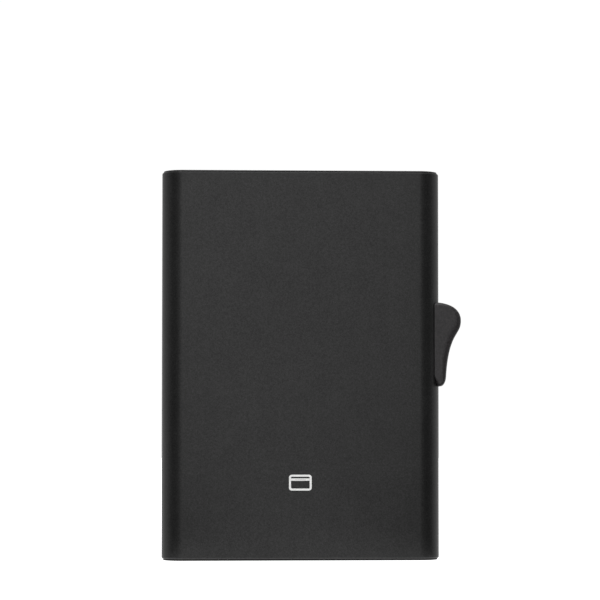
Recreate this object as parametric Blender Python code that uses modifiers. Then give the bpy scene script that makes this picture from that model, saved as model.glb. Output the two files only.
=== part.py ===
"""Minimalist wallet: an aluminium card sleeve whose side thumb lever fans the cards out of the mouth.

Frame: +X is towards the thumb lever, -Y is the front and +Z is up, out of the card mouth. The origin
is the centre of the bottom face. All lengths below are in millimetres, and every object is in metres.
Inside, a slider behind the right side carries a pin. The pin rides in the curved slot of a pivoted arm,
and the arm's five steps, each longer than the one in front of it, push the cards up by five amounts.
"""

import math

import bmesh
import bpy

MM = 0.001

# Overall
SLEEVE_WIDTH = 69.0
SLEEVE_THICKNESS = 11.5
OVERALL_HEIGHT = 96.5

# Sleeve: a drawn aluminium tube
SLEEVE_WALL = 1.2
SIDE_FLAT = 1.0  # what is left flat between the two rounds of each long side
END_BREAK = 0.4  # bevel on the outer edge of both ends
ROUND_STEPS = 12  # straight pieces in each quarter round of the sleeve

# Cards, to the bank card standard: 85.60 x 53.98 x 0.76
CARD_WIDTH = 54.0
CARD_PLAY = 0.4
LEFT_CHANNEL = 4.4  # room left of the cards, inside the sleeve
MOUTH_DEPTH = 8.0  # front to back
MOUTH_CORNER = 0.8

# Plastic ends
FLANGE = 0.3  # thickness of the lip that closes each end of the sleeve
FLANGE_INSET = 0.4  # the lip stays this far inside the sleeve's outline
FLOOR = 2.2  # whole height of the bottom cap's plug
RELIEF_REACH = 24.0  # two shallow hollows under the cap go this far out from the middle
RELIEF_RIB = 5.0  # what is left between them
RELIEF_DEPTH = 6.4  # front to back
RELIEF_HEIGHT = 0.8
COLLAR_DEPTH = 4.9  # whole height of the top collar
FIT = 0.15  # between an insert and the sleeve's wall
STACK_GAP = 0.2  # between one insert and the next
GROOVE_FRONT = 0.2  # a groove down the left guide's outer side saves plastic
GROOVE_BACK = 2.6
GROOVE_WALL = 1.6  # left between the groove and the cards
GROOVE_END = 3.0  # left beyond the screw below and the peg above
SEAT_GAP = 0.05  # between a lip and the end of the sleeve

# Screws from below and locating pegs from above, both on the same two centres
FIXING_FROM_WALL = 1.296  # to the sleeve's inner wall
FIXING_TURN = 60.64  # degrees forwards from straight sideways, about the centre of the sleeve's round
SCREW_SHANK_R = 0.6
SCREW_HEAD_R = 1.35
SCREW_HEAD_HEIGHT = 0.75
SCREW_SINK = 0.08
SCREW_LENGTH = 7.0
SCREW_TIP = 0.6
SCREW_PLAY = 0.12
SOCKET_R = 0.5
SOCKET_DEPTH = 0.55
PEG_R = 0.6
PEG_LENGTH = 4.0
HOLE_SPARE = 0.5  # a hole goes this much deeper than its screw or peg

# Ejector arm, turning on a pin in two ears of the bottom cap
PIVOT_FROM_CARDS = 2.9  # from the cards' left edge
PIVOT_Z = 6.8
PIVOT_R = 1.0
PIVOT_PLAY = 0.06
EAR_PRESS_PLAY = 0.03
HUB_R = 2.6
EAR_R = 2.4
EAR_GAP = 0.2
STEP_COUNT = 5
STEP_DEPTH = 1.34  # front to back, one step
FIRST_REACH = 13.0  # from the pivot to the centre of the first step's nose
REACH_PITCH = 8.9
NOSE_R = 1.6
FIRST_STEP_START = 5.5
STEP_EASE = 0.03  # each step stands this much lower than the one behind it
STEP_LAP = 0.3  # how far each step runs into the one behind it
ARM_FELT_GAP = 0.19
TONGUE_WALL = 0.75  # left round the drive slot

# Drive: slider, its pin and the arm's slot
TRAVEL = 20.0
DRIVE_PIN_R = 0.75
DRIVE_PLAY = 0.1
DRIVE_PIN_Z = 5.0
DRIVE_PIN_FROM_CARDS = 1.5
CHEEK_FROM_CARDS = 0.25
CHEEK_HEIGHT = 6.5
SLIDER_FROM_CARDS = 1.1
SLIDER_WIDTH = 5.0
SLIDER_BOTTOM = 3.0
SLIDER_LENGTH = 59.0
SLIDER_FRONT = -1.5
CHEEK_GAP = 0.26  # between the slider's cheek and the arm's last step
SLIDER_THICK_FROM = 40.0  # above this the slider is as deep as its channel
SLIDE_PLAY = 0.2
CHANNEL_SPARE = 2.0  # length of channel left above the raised slider
WINDOW_ABOVE_PIN = 6.0  # height of the arm's window over the raised pin

# Thumb lever, a moulded saddle outside the sleeve
LEVER_BOTTOM = 43.0
LEVER_THICKNESS = 8.4
LEVER_GAP = 0.3
LEVER_EDGE = 0.9
LEVER_CROWN_OUT = 5.36  # how far the crown stands out of the sleeve's side
LEVER_CROWN_UP = 16.39  # crown above the lever's bottom
LEVER_TOP_UP = 20.85
LEVER_TAIL_OUT = 1.61
LEVER_TAIL_UP = 2.35
LEVER_INSIDE = 2.5  # the outline starts this far inside the sleeve's side, before the saddle is cut
LEVER_HEEL_UP = 3.2  # the heel's round meets the outline's inner side here
LEVER_FOOT_OUT = 0.15  # the heel's round is level here
HEEL_FROM_SIDE = (0.9, 0.8)  # how far inside the side the heel's round starts and ends its turn
FOOT_LEAVE = 0.85  # how the tail's round leaves the foot, outwards
TAIL_ARRIVE = (0.1, 1.25)  # how it comes to the tail, inwards and down
FLANK_FROM_TAIL = (0.69, 11.33)  # how the flank's curve leaves the tail, outwards and up
FLANK_UNDER_CROWN = 3.88  # how far below the crown it turns upright
CROWN_OVER = 2.07  # how far above its widest place the crown stays upright
TOP_FROM_SIDE = (3.89, 0.46)  # how the crown's curve meets the top, outwards and down
STEM_THICKNESS = 1.9
STEM_LENGTH = 10.0
STEM_UP = 6.0  # the stem's lower edge above the lever's bottom
STEM_INTO_SLIDER = 2.8
STEM_PLAY = 0.3
TENON_PLAY = 0.15

# Springs and felts
LEAF_WIDTH = 5.0
LEAF_THICKNESS = 0.25
LEAF_LENGTH = 60.0
LEAF_BOTTOM = 24.0
LEAF_BOW = 0.95
LEAF_SPREAD = 28.0  # between the two leaf springs
WALL_GAP = 0.06
BOW_WIDTH = 2.0
BOW_LENGTH = 10.0
BOW_THICKNESS = 0.2
BOW_UP = 35.0
BOW_POCKET = 0.9  # depth of its pocket in the slider
BOW_PLAY = 0.2  # on each side of it in the pocket
BOW_END_PLAY = 0.3
FELT_WIDTH = 4.0
FELT_THICKNESS = 0.4
FELT_LENGTH = 70.0
FELT_BOTTOM = 16.0
FELT_SPREAD = 36.0

# How far a cutting shape runs past what it cuts
OVERRUN = 1.0

# Worked out from the sizes above
HALF_WIDTH = SLEEVE_WIDTH / 2
HALF_THICKNESS = SLEEVE_THICKNESS / 2
INNER_HALF_WIDTH = HALF_WIDTH - SLEEVE_WALL
INNER_HALF_THICKNESS = HALF_THICKNESS - SLEEVE_WALL
CARDS_LEFT = LEFT_CHANNEL - INNER_HALF_WIDTH
CARDS_RIGHT = CARDS_LEFT + CARD_WIDTH + CARD_PLAY
MIDDLE_X = (CARDS_LEFT + CARDS_RIGHT) / 2
INSERT_BOTTOM = FLOOR + STACK_GAP
INSERT_TOP = OVERALL_HEIGHT - COLLAR_DEPTH - STACK_GAP
INNER_ROUND = INNER_HALF_THICKNESS - SIDE_FLAT / 2
FIXING_RADIUS = INNER_ROUND - FIXING_FROM_WALL
FIXING_X = INNER_HALF_WIDTH - INNER_ROUND + FIXING_RADIUS * math.cos(math.radians(FIXING_TURN))
FIXING_Y = -SIDE_FLAT / 2 - FIXING_RADIUS * math.sin(math.radians(FIXING_TURN))
PIVOT_X = CARDS_LEFT + PIVOT_FROM_CARDS
ARM_FRONT = WALL_GAP + FELT_THICKNESS + ARM_FELT_GAP - INNER_HALF_THICKNESS
ARM_BACK = ARM_FRONT + STEP_COUNT * STEP_DEPTH
DRIVE_PIN_X = CARDS_RIGHT + DRIVE_PIN_FROM_CARDS
DRIVE_RADIUS = DRIVE_PIN_X - PIVOT_X  # the arm turns by the travel divided by this, in radians
SLIDER_LEFT = CARDS_RIGHT + SLIDER_FROM_CARDS
SLIDER_RIGHT = SLIDER_LEFT + SLIDER_WIDTH
SLIDER_TOP = SLIDER_BOTTOM + SLIDER_LENGTH
SLIDER_BACK = ARM_BACK - STEP_DEPTH - CHEEK_GAP
CHANNEL_BACK = ARM_BACK + SLIDE_PLAY
STEM_BOTTOM = LEVER_BOTTOM + STEM_UP
STEM_TOP = STEM_BOTTOM + STEM_LENGTH


def remove_everything():
    """Empties the scene of its starting objects."""
    for thing in list(bpy.data.objects):
        bpy.data.objects.remove(thing, do_unlink=True)


remove_everything()
PARTS = bpy.data.collections.new("minimalist_wallet")
CUTTERS = bpy.data.collections.new("cutters")
bpy.context.scene.collection.children.link(PARTS)
bpy.context.scene.collection.children.link(CUTTERS)
CUTTERS.hide_render = True


# Materials


def principled(name, colour, roughness, metallic):
    """A plain Principled material."""
    material = bpy.data.materials.new(name)
    material.use_nodes = True
    shader = material.node_tree.nodes["Principled BSDF"]
    shader.inputs["Base Color"].default_value = (*colour, 1.0)
    shader.inputs["Roughness"].default_value = roughness
    shader.inputs["Metallic"].default_value = metallic
    return material


ANODISED = ("black_anodised_aluminium", (0.035, 0.034, 0.036), 0.42, 0.9)
PLASTIC = ("black_nylon", (0.025, 0.023, 0.025), 0.55, 0.0)
LEVER_PLASTIC = ("lever_plastic", (0.04, 0.036, 0.04), 0.5, 0.0)
ACETAL = ("grey_acetal", (0.17, 0.17, 0.18), 0.4, 0.0)
STEEL = ("bright_steel", (0.55, 0.55, 0.56), 0.3, 1.0)
SPRING_STEEL = ("spring_steel", (0.36, 0.35, 0.34), 0.28, 1.0)
FELT = ("black_felt", (0.02, 0.02, 0.022), 0.95, 0.0)


# Shapes


def arc(centre_u, centre_v, radius, start, end, steps):
    """Points along a circular arc between two angles in degrees, both ends included."""
    turns = [math.radians(start + (end - start) * i / steps) for i in range(steps + 1)]
    return [(centre_u + radius * math.cos(t), centre_v + radius * math.sin(t)) for t in turns]


def bezier(start, leave, arrive, end, steps):
    """Points along a cubic curve, both ends included."""
    points = []
    for i in range(steps + 1):
        t = i / steps
        weights = ((1 - t) ** 3, 3 * (1 - t) ** 2 * t, 3 * (1 - t) * t * t, t**3)
        corners = (start, leave, arrive, end)
        points.append(tuple(sum(w * c[axis] for w, c in zip(weights, corners)) for axis in (0, 1)))
    return points


def rounded_rectangle(left, right, low, high, radius, steps):
    """The outline of a rectangle with round corners, anticlockwise."""
    corners = (
        (right - radius, high - radius, 0),
        (left + radius, high - radius, 90),
        (left + radius, low + radius, 180),
        (right - radius, low + radius, 270),
    )
    points = []
    for centre_u, centre_v, start in corners:
        points += arc(centre_u, centre_v, radius, start, start + 90, steps)
    return points


def sleeve_outline(inset):
    """The sleeve's cross-section, moved inwards by the inset all round."""
    across = HALF_WIDTH - inset
    deep = HALF_THICKNESS - inset
    radius = deep - SIDE_FLAT / 2
    return rounded_rectangle(-across, across, -deep, deep, radius, ROUND_STEPS)


def side_outline(card_edge, side):
    """The cross-section of an insert, from the cards' edge to the sleeve's round side: 1 right, -1 left.

    Where the cards' edge lies beyond the start of the round, the round is cut short there.
    """
    across = INNER_HALF_WIDTH - FIT
    deep = INNER_HALF_THICKNESS - FIT
    radius = deep - SIDE_FLAT / 2
    centre = across - radius
    cut_short = max(abs(card_edge) - centre, 0.0)
    lean = math.degrees(math.asin(cut_short / radius))
    rim = arc(centre, radius - deep, radius, lean - 90, 0, ROUND_STEPS)
    rim += arc(centre, deep - radius, radius, 0, 90 - lean, ROUND_STEPS)
    return [(card_edge, rim[0][1])] + [(side * u, v) for u, v in rim] + [(card_edge, rim[-1][1])]


def tapered_bar(start, start_r, end, end_r, steps=14):
    """The outline of a belt drawn tight round two circles."""
    along = math.degrees(math.atan2(end[1] - start[1], end[0] - start[0]))
    apart = math.hypot(end[0] - start[0], end[1] - start[1])
    lean = math.degrees(math.acos((start_r - end_r) / apart))
    far = arc(*start, start_r, along + lean, along + 360 - lean, steps)
    near = arc(*end, end_r, along - lean, along + lean, steps)
    return far + near


def without_repeats(points):
    """Drops a point that lies on the one before it."""
    kept = []
    for i, point in enumerate(points):
        if math.dist(point, points[i - 1]) > 1e-4:
            kept.append(point)
    return kept


TURNED_TO = {"XY": (0, 0, 0), "XZ": (math.pi / 2, 0, 0), "YZ": (math.pi / 2, 0, math.pi / 2)}


def outline_solid(name, outline, low, high, plane):
    """A flat outline made solid between two levels of the axis that its plane leaves out."""
    curve = bpy.data.curves.new("outline", "CURVE")
    curve.dimensions = "2D"
    curve.fill_mode = "BOTH"
    curve.extrude = (high - low) / 2 * MM
    points = without_repeats(outline)
    spline = curve.splines.new("POLY")
    spline.points.add(len(points) - 1)
    for point, (u, v) in zip(spline.points, points):
        point.co = (u * MM, v * MM, 0.0, 1.0)
    spline.use_cyclic_u = True
    drawn = bpy.data.objects.new("outline", curve)
    bpy.context.scene.collection.objects.link(drawn)
    middle = (low + high) / 2 * MM
    drawn.rotation_euler = TURNED_TO[plane]
    drawn.location = {"XY": (0, 0, middle), "XZ": (0, middle, 0), "YZ": (middle, 0, 0)}[plane]
    bpy.context.view_layer.update()
    seen = drawn.evaluated_get(bpy.context.evaluated_depsgraph_get())
    mesh = bpy.data.meshes.new_from_object(seen)
    solid = bpy.data.objects.new(name, mesh)
    solid.matrix_world = drawn.matrix_world
    bpy.data.objects.remove(drawn, do_unlink=True)
    work = bmesh.new()
    work.from_mesh(mesh)
    bmesh.ops.remove_doubles(work, verts=work.verts, dist=1e-6)
    bmesh.ops.dissolve_limit(work, angle_limit=math.radians(0.5), verts=work.verts, edges=work.edges)
    bmesh.ops.recalc_face_normals(work, faces=work.faces)
    work.to_mesh(mesh)
    work.free()
    PARTS.objects.link(solid)
    return solid


def box_solid(name, low, high):
    """A box between two corners."""
    mesh = bpy.data.meshes.new(name)
    work = bmesh.new()
    bmesh.ops.create_cube(work, size=1.0)
    bmesh.ops.scale(work, vec=[(b - a) * MM for a, b in zip(low, high)], verts=work.verts)
    work.to_mesh(mesh)
    work.free()
    solid = bpy.data.objects.new(name, mesh)
    solid.location = [(a + b) / 2 * MM for a, b in zip(low, high)]
    PARTS.objects.link(solid)
    return solid


def round_solid(name, centre, axis, low, high, low_r, high_r, sides=32):
    """A cylinder or cone along Y or Z, about a centre given in the other two axes."""
    mesh = bpy.data.meshes.new(name)
    work = bmesh.new()
    depth = (high - low) * MM
    bmesh.ops.create_cone(
        work, cap_ends=True, segments=sides, radius1=low_r * MM, radius2=high_r * MM, depth=depth
    )
    work.to_mesh(mesh)
    work.free()
    solid = bpy.data.objects.new(name, mesh)
    middle = (low + high) / 2 * MM
    if axis == "Y":
        solid.rotation_euler = (-math.pi / 2, 0, 0)
        solid.location = (centre[0] * MM, middle, centre[1] * MM)
    else:
        solid.location = (centre[0] * MM, centre[1] * MM, middle)
    PARTS.objects.link(solid)
    return solid


def turned_solid(name, profile, centre):
    """A profile of (radius, height) points spun about an upright axis."""
    mesh = bpy.data.meshes.new(name)
    points = [(radius * MM, 0.0, height * MM) for radius, height in profile]
    mesh.from_pydata(points, [(i, i + 1) for i in range(len(points) - 1)], [])
    solid = bpy.data.objects.new(name, mesh)
    solid.location = (centre[0] * MM, centre[1] * MM, 0)
    PARTS.objects.link(solid)
    spin = solid.modifiers.new("spin", "SCREW")
    spin.steps = 24
    spin.render_steps = 24
    spin.use_merge_vertices = True
    spin.merge_threshold = 1e-6
    spin.use_normal_calculate = True
    return solid


def combine(part, other, operation):
    """Adds a Boolean of one solid with another, which then counts as a cutter."""
    modifier = part.modifiers.new(other.name, "BOOLEAN")
    modifier.operation = operation
    modifier.solver = "EXACT"
    modifier.object = other
    PARTS.objects.unlink(other)
    CUTTERS.objects.link(other)
    other.display_type = "WIRE"
    other.hide_render = True


def join(part, other):
    """Makes the other solid part of this one."""
    combine(part, other, "UNION")


def cut(part, other):
    """Takes the other solid out of this one."""
    combine(part, other, "DIFFERENCE")


def round_edges(part, width, segments):
    """Bevels the sharp edges made so far."""
    bevel = part.modifiers.new("edge", "BEVEL")
    bevel.width = width * MM
    bevel.segments = segments
    bevel.limit_method = "ANGLE"
    bevel.angle_limit = math.radians(40)


def finish_part(part, material):
    """Gives a part its material."""
    part.data.materials.clear()
    part.data.materials.append(material)
    return part


# Housing


def build_sleeve():
    """The drawn sleeve, with the thumb lever's slot in its right side."""
    ends = (FLANGE + SEAT_GAP, OVERALL_HEIGHT - FLANGE - SEAT_GAP)
    sleeve = outline_solid("case", sleeve_outline(0), *ends, "XY")
    round_edges(sleeve, END_BREAK, 2)
    hollow_ends = (-OVERRUN, OVERALL_HEIGHT + OVERRUN)
    cut(sleeve, outline_solid("case_hollow", sleeve_outline(SLEEVE_WALL), *hollow_ends, "XY"))
    half = STEM_THICKNESS / 2 + STEM_PLAY
    reach = (STEM_BOTTOM - half, STEM_TOP + TRAVEL + half)
    slot = rounded_rectangle(-half, half, *reach, half - 0.02, 6)
    cut(sleeve, outline_solid("case_slot", slot, INNER_HALF_WIDTH - OVERRUN, HALF_WIDTH + OVERRUN, "YZ"))
    return finish_part(sleeve, principled(*ANODISED))


def build_bottom_cap():
    """The cap that closes the sleeve below, with two ears for the arm's pivot pin."""
    cap = outline_solid("bottom_cap", sleeve_outline(FLANGE_INSET), 0, FLANGE, "XY")
    plug = outline_solid("cap_plug", sleeve_outline(SLEEVE_WALL + FIT), FLANGE / 2, FLOOR, "XY")
    join(cap, plug)
    for label, left in (("left", -RELIEF_REACH), ("right", RELIEF_RIB / 2)):
        relief_low = (left, -RELIEF_DEPTH / 2, -OVERRUN)
        relief_high = (left + RELIEF_REACH - RELIEF_RIB / 2, RELIEF_DEPTH / 2, RELIEF_HEIGHT)
        cut(cap, box_solid(f"cap_relief_{label}", relief_low, relief_high))
    wall = INNER_HALF_THICKNESS - FIT - SEAT_GAP
    ears = (("cap_ear_front", -wall, hub_front() - EAR_GAP), ("cap_ear_back", ARM_BACK + EAR_GAP, wall))
    for name, front, back in ears:
        outline = [(PIVOT_X - EAR_R, FLOOR - 0.7), (PIVOT_X + EAR_R, FLOOR - 0.7)]
        outline += arc(PIVOT_X, PIVOT_Z, EAR_R, 0, 180, 16)
        join(cap, outline_solid(name, outline, front, back, "XZ"))
    hole_r = PIVOT_R + EAR_PRESS_PLAY
    pivot = (PIVOT_X, PIVOT_Z)
    span = (-HALF_THICKNESS, HALF_THICKNESS)
    cut(cap, round_solid("cap_pivot_hole", pivot, "Y", *span, hole_r, hole_r))
    for side in (-1, 1):
        centre = (side * FIXING_X, FIXING_Y)
        shank_r = SCREW_SHANK_R + SCREW_PLAY
        head_r = SCREW_HEAD_R + SCREW_PLAY
        label = "left" if side < 0 else "right"
        cone_top = SCREW_SINK + SCREW_HEAD_HEIGHT
        slope = (head_r - shank_r) / cone_top
        cone = (head_r + slope * 0.1, shank_r)
        cut(cap, round_solid(f"cap_countersink_{label}", centre, "Z", -0.1, cone_top, *cone))
        hole_ends = (cone_top / 2, FLOOR + OVERRUN)
        cut(cap, round_solid(f"cap_screw_hole_{label}", centre, "Z", *hole_ends, shank_r, shank_r))
    return finish_part(cap, principled(*PLASTIC))


def build_top_collar():
    """The frame of the card mouth, held by two pegs in the inserts below it."""
    top = OVERALL_HEIGHT
    collar = outline_solid("top_collar", sleeve_outline(FLANGE_INSET), top - FLANGE, top, "XY")
    bottom = top - COLLAR_DEPTH
    spigot_outline = sleeve_outline(SLEEVE_WALL + FIT)
    join(collar, outline_solid("collar_spigot", spigot_outline, bottom, top - FLANGE / 2, "XY"))
    for side in (-1, 1):
        label = "left" if side < 0 else "right"
        centre = (side * FIXING_X, FIXING_Y)
        peg_ends = (bottom - PEG_LENGTH, bottom + OVERRUN)
        join(collar, round_solid(f"collar_peg_{label}", centre, "Z", *peg_ends, PEG_R, PEG_R, 20))
    half = MOUTH_DEPTH / 2
    mouth = rounded_rectangle(CARDS_LEFT, CARDS_RIGHT, -half, half, MOUTH_CORNER, 5)
    cut(collar, outline_solid("collar_mouth", mouth, bottom - OVERRUN, top + OVERRUN, "XY"))
    return finish_part(collar, principled(*PLASTIC))


def drill_insert(insert, side):
    """Screw and peg holes in the ends of a side insert."""
    centre = (side * FIXING_X, FIXING_Y)
    screw_r = SCREW_SHANK_R + SCREW_PLAY
    peg_r = PEG_R + SCREW_PLAY
    screw_hole = (INSERT_BOTTOM - OVERRUN, SCREW_LENGTH + HOLE_SPARE)
    peg_hole = (OVERALL_HEIGHT - COLLAR_DEPTH - PEG_LENGTH - HOLE_SPARE, INSERT_TOP + OVERRUN)
    cut(insert, round_solid(f"{insert.name}_screw_hole", centre, "Z", *screw_hole, screw_r, screw_r, 24))
    cut(insert, round_solid(f"{insert.name}_peg_hole", centre, "Z", *peg_hole, peg_r, peg_r, 24))


def build_left_guide():
    """The bar that fills the left channel and guides the cards' left edges."""
    outline = side_outline(CARDS_LEFT, -1)
    guide = outline_solid("left_guide", outline, INSERT_BOTTOM, INSERT_TOP, "XY")
    groove_low = (-INNER_HALF_WIDTH - OVERRUN, GROOVE_FRONT, SCREW_LENGTH + GROOVE_END)
    groove_high = (CARDS_LEFT - GROOVE_WALL, GROOVE_BACK, INSERT_TOP - PEG_LENGTH - GROOVE_END)
    cut(guide, box_solid("left_guide_groove", groove_low, groove_high))
    drill_insert(guide, -1)
    return finish_part(guide, principled(*PLASTIC))


def build_right_rail():
    """The channel that the slider runs in, with a window for the arm and a slot for the lever's stem."""
    outline = side_outline(CARDS_RIGHT, 1)
    rail = outline_solid("right_rail", outline, INSERT_BOTTOM, INSERT_TOP, "XY")
    channel_top = SLIDER_TOP + TRAVEL + CHANNEL_SPARE
    front = SLIDER_FRONT - SLIDE_PLAY
    channel_low = (SLIDER_LEFT - SLIDE_PLAY, front, INSERT_BOTTOM - OVERRUN)
    channel_high = (SLIDER_RIGHT + SLIDE_PLAY, CHANNEL_BACK, channel_top)
    cut(rail, box_solid("rail_channel", channel_low, channel_high))
    window_low = (CARDS_RIGHT - OVERRUN, front + 0.05, INSERT_BOTTOM - OVERRUN)
    window_high = (SLIDER_LEFT + OVERRUN, CHANNEL_BACK - 0.05, DRIVE_PIN_Z + TRAVEL + WINDOW_ABOVE_PIN)
    cut(rail, box_solid("rail_window", window_low, window_high))
    half = STEM_THICKNESS / 2 + STEM_PLAY
    slot_low = (SLIDER_RIGHT - 0.5, -half, STEM_BOTTOM - half)
    slot_high = (HALF_WIDTH, half, STEM_TOP + TRAVEL + half)
    cut(rail, box_solid("rail_slot", slot_low, slot_high))
    drill_insert(rail, 1)
    return finish_part(rail, principled(*PLASTIC))


def build_screw(side):
    """A countersunk screw through the bottom cap, with a hexagon socket."""
    label = "left" if side < 0 else "right"
    under_head = SCREW_SINK + SCREW_HEAD_HEIGHT
    profile = [
        (0, SCREW_SINK),
        (SCREW_HEAD_R, SCREW_SINK),
        (SCREW_SHANK_R, under_head),
        (SCREW_SHANK_R, SCREW_LENGTH - SCREW_TIP),
        (0, SCREW_LENGTH),
    ]
    centre = (side * FIXING_X, FIXING_Y)
    screw = turned_solid(f"cap_screw_{label}", profile, centre)
    socket = (SCREW_SINK - OVERRUN, SCREW_SINK + SOCKET_DEPTH)
    cut(screw, round_solid(f"screw_socket_{label}", centre, "Z", *socket, SOCKET_R, SOCKET_R, 6))
    return finish_part(screw, principled(*STEEL))


def strip_outline(foot, bow, bottom, length, thickness, steps=22):
    """The side view of a springy strip: flat feet against a wall, and a smooth bow between them."""
    heights = [bottom + length * i / steps for i in range(steps + 1)]
    bows = [bow * (1 - math.cos(2 * math.pi * i / steps)) / 2 for i in range(steps + 1)]
    near = [(foot + b, z) for b, z in zip(bows, heights)]
    far = [(u + math.copysign(thickness, bow), z) for u, z in near]
    return near + far[::-1]


def build_leaf_spring(side):
    """A bowed steel strip on the back wall, which presses the cards forwards."""
    label = "left" if side < 0 else "right"
    foot = INNER_HALF_THICKNESS - WALL_GAP
    outline = strip_outline(foot, -LEAF_BOW, LEAF_BOTTOM, LEAF_LENGTH, LEAF_THICKNESS)
    centre = MIDDLE_X + side * LEAF_SPREAD / 2
    span = (centre - LEAF_WIDTH / 2, centre + LEAF_WIDTH / 2)
    spring = outline_solid(f"leaf_spring_{label}", outline, *span, "YZ")
    return finish_part(spring, principled(*SPRING_STEEL))


def build_felt(side):
    """A felt strip on the front wall, which the first card slides on."""
    label = "left" if side < 0 else "right"
    front = WALL_GAP - INNER_HALF_THICKNESS
    centre = MIDDLE_X + side * FELT_SPREAD / 2
    low = (centre - FELT_WIDTH / 2, front, FELT_BOTTOM)
    high = (centre + FELT_WIDTH / 2, front + FELT_THICKNESS, FELT_BOTTOM + FELT_LENGTH)
    felt = box_solid(f"felt_{label}", low, high)
    return finish_part(felt, principled(*FELT))


def build_pivot_pin():
    """The steel pin that the arm turns on."""
    wall = INNER_HALF_THICKNESS - FIT - 0.1
    pivot = (PIVOT_X, PIVOT_Z)
    pin = round_solid("arm_pivot_pin", pivot, "Y", -wall, wall, PIVOT_R, PIVOT_R)
    return finish_part(pin, principled(*STEEL))


# Ejector arm


def hub_front():
    """Where the arm's hub starts: behind its first step, which passes in front of nothing but cards."""
    return ARM_FRONT + STEP_DEPTH


def drive_path(travel):
    """Where the drive pin sits in the resting arm's own frame after some travel.

    The arm turns by travel / DRIVE_RADIUS while the pin goes straight up, so turning the pin's place
    back by that angle about the pivot gives the centre line of the slot.
    """
    turn = travel / DRIVE_RADIUS
    rise = DRIVE_PIN_Z - PIVOT_Z + travel
    u = DRIVE_RADIUS * math.cos(turn) + rise * math.sin(turn)
    v = rise * math.cos(turn) - DRIVE_RADIUS * math.sin(turn)
    return (PIVOT_X + u, PIVOT_Z + v)


def drive_slot_outline(steps=10):
    """The slot round the drive pin's path, with a round end at both ends."""
    start = max(PIVOT_Z - DRIVE_PIN_Z, 0.0)
    path = [drive_path(start + (TRAVEL - start) * i / steps) for i in range(steps + 1)]
    half = DRIVE_PIN_R + DRIVE_PLAY
    above = []
    below = []
    headings = []
    for i, (u, v) in enumerate(path):
        before = path[max(i - 1, 0)]
        after = path[min(i + 1, steps)]
        heading = math.atan2(after[1] - before[1], after[0] - before[0])
        headings.append(math.degrees(heading))
        above.append((u - half * math.sin(heading), v + half * math.cos(heading)))
        below.append((u + half * math.sin(heading), v - half * math.cos(heading)))
    first_end = arc(*path[0], half, headings[0] + 90, headings[0] + 270, 10)
    last_end = arc(*path[-1], half, headings[-1] - 90, headings[-1] + 90, 10)
    return first_end + below[1:-1] + last_end + above[-2:0:-1]


def build_ejector_arm():
    """Five stepped plates in one moulding, a hub on the pivot and a tongue with the drive slot."""
    pivot = (PIVOT_X, PIVOT_Z)
    nose_v = PIVOT_Z + HUB_R - NOSE_R
    arm = None
    for step in range(STEP_COUNT):
        steps_behind = STEP_COUNT - 1 - step
        ease = STEP_EASE * steps_behind
        nose = (PIVOT_X + FIRST_REACH + step * REACH_PITCH, nose_v)
        if step == 0:
            start = (PIVOT_X + FIRST_STEP_START, nose_v)
            outline = tapered_bar(start, NOSE_R - ease, nose, NOSE_R - ease)
        else:
            outline = tapered_bar(pivot, HUB_R - ease, nose, NOSE_R - ease)
        front = ARM_FRONT + step * STEP_DEPTH
        back = front + STEP_DEPTH + (STEP_LAP if steps_behind else 0)
        name = "ejector_arm" if step == 0 else f"arm_step_{step + 1}"
        plate = outline_solid(name, outline, front, back, "XZ")
        if arm is None:
            arm = plate
        else:
            join(arm, plate)
    eye_r = DRIVE_PIN_R + DRIVE_PLAY + TONGUE_WALL
    tongue_span = (ARM_BACK - STEP_DEPTH + 0.05, ARM_BACK - 0.05)
    tongue = tapered_bar(pivot, HUB_R - 0.1, drive_path(TRAVEL), eye_r)
    join(arm, outline_solid("arm_tongue", tongue, *tongue_span, "XZ"))
    eye = tapered_bar(drive_path(0), eye_r + 0.02, drive_path(TRAVEL), eye_r)
    join(arm, outline_solid("arm_eye", eye, *tongue_span, "XZ"))
    beyond = (ARM_FRONT - OVERRUN, ARM_BACK + OVERRUN)
    bore_r = PIVOT_R + PIVOT_PLAY
    cut(arm, round_solid("arm_bore", pivot, "Y", *beyond, bore_r, bore_r))
    cut(arm, outline_solid("arm_slot", drive_slot_outline(), *beyond, "XZ"))
    return finish_part(arm, principled(*ACETAL))


# Slider and thumb lever


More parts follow.
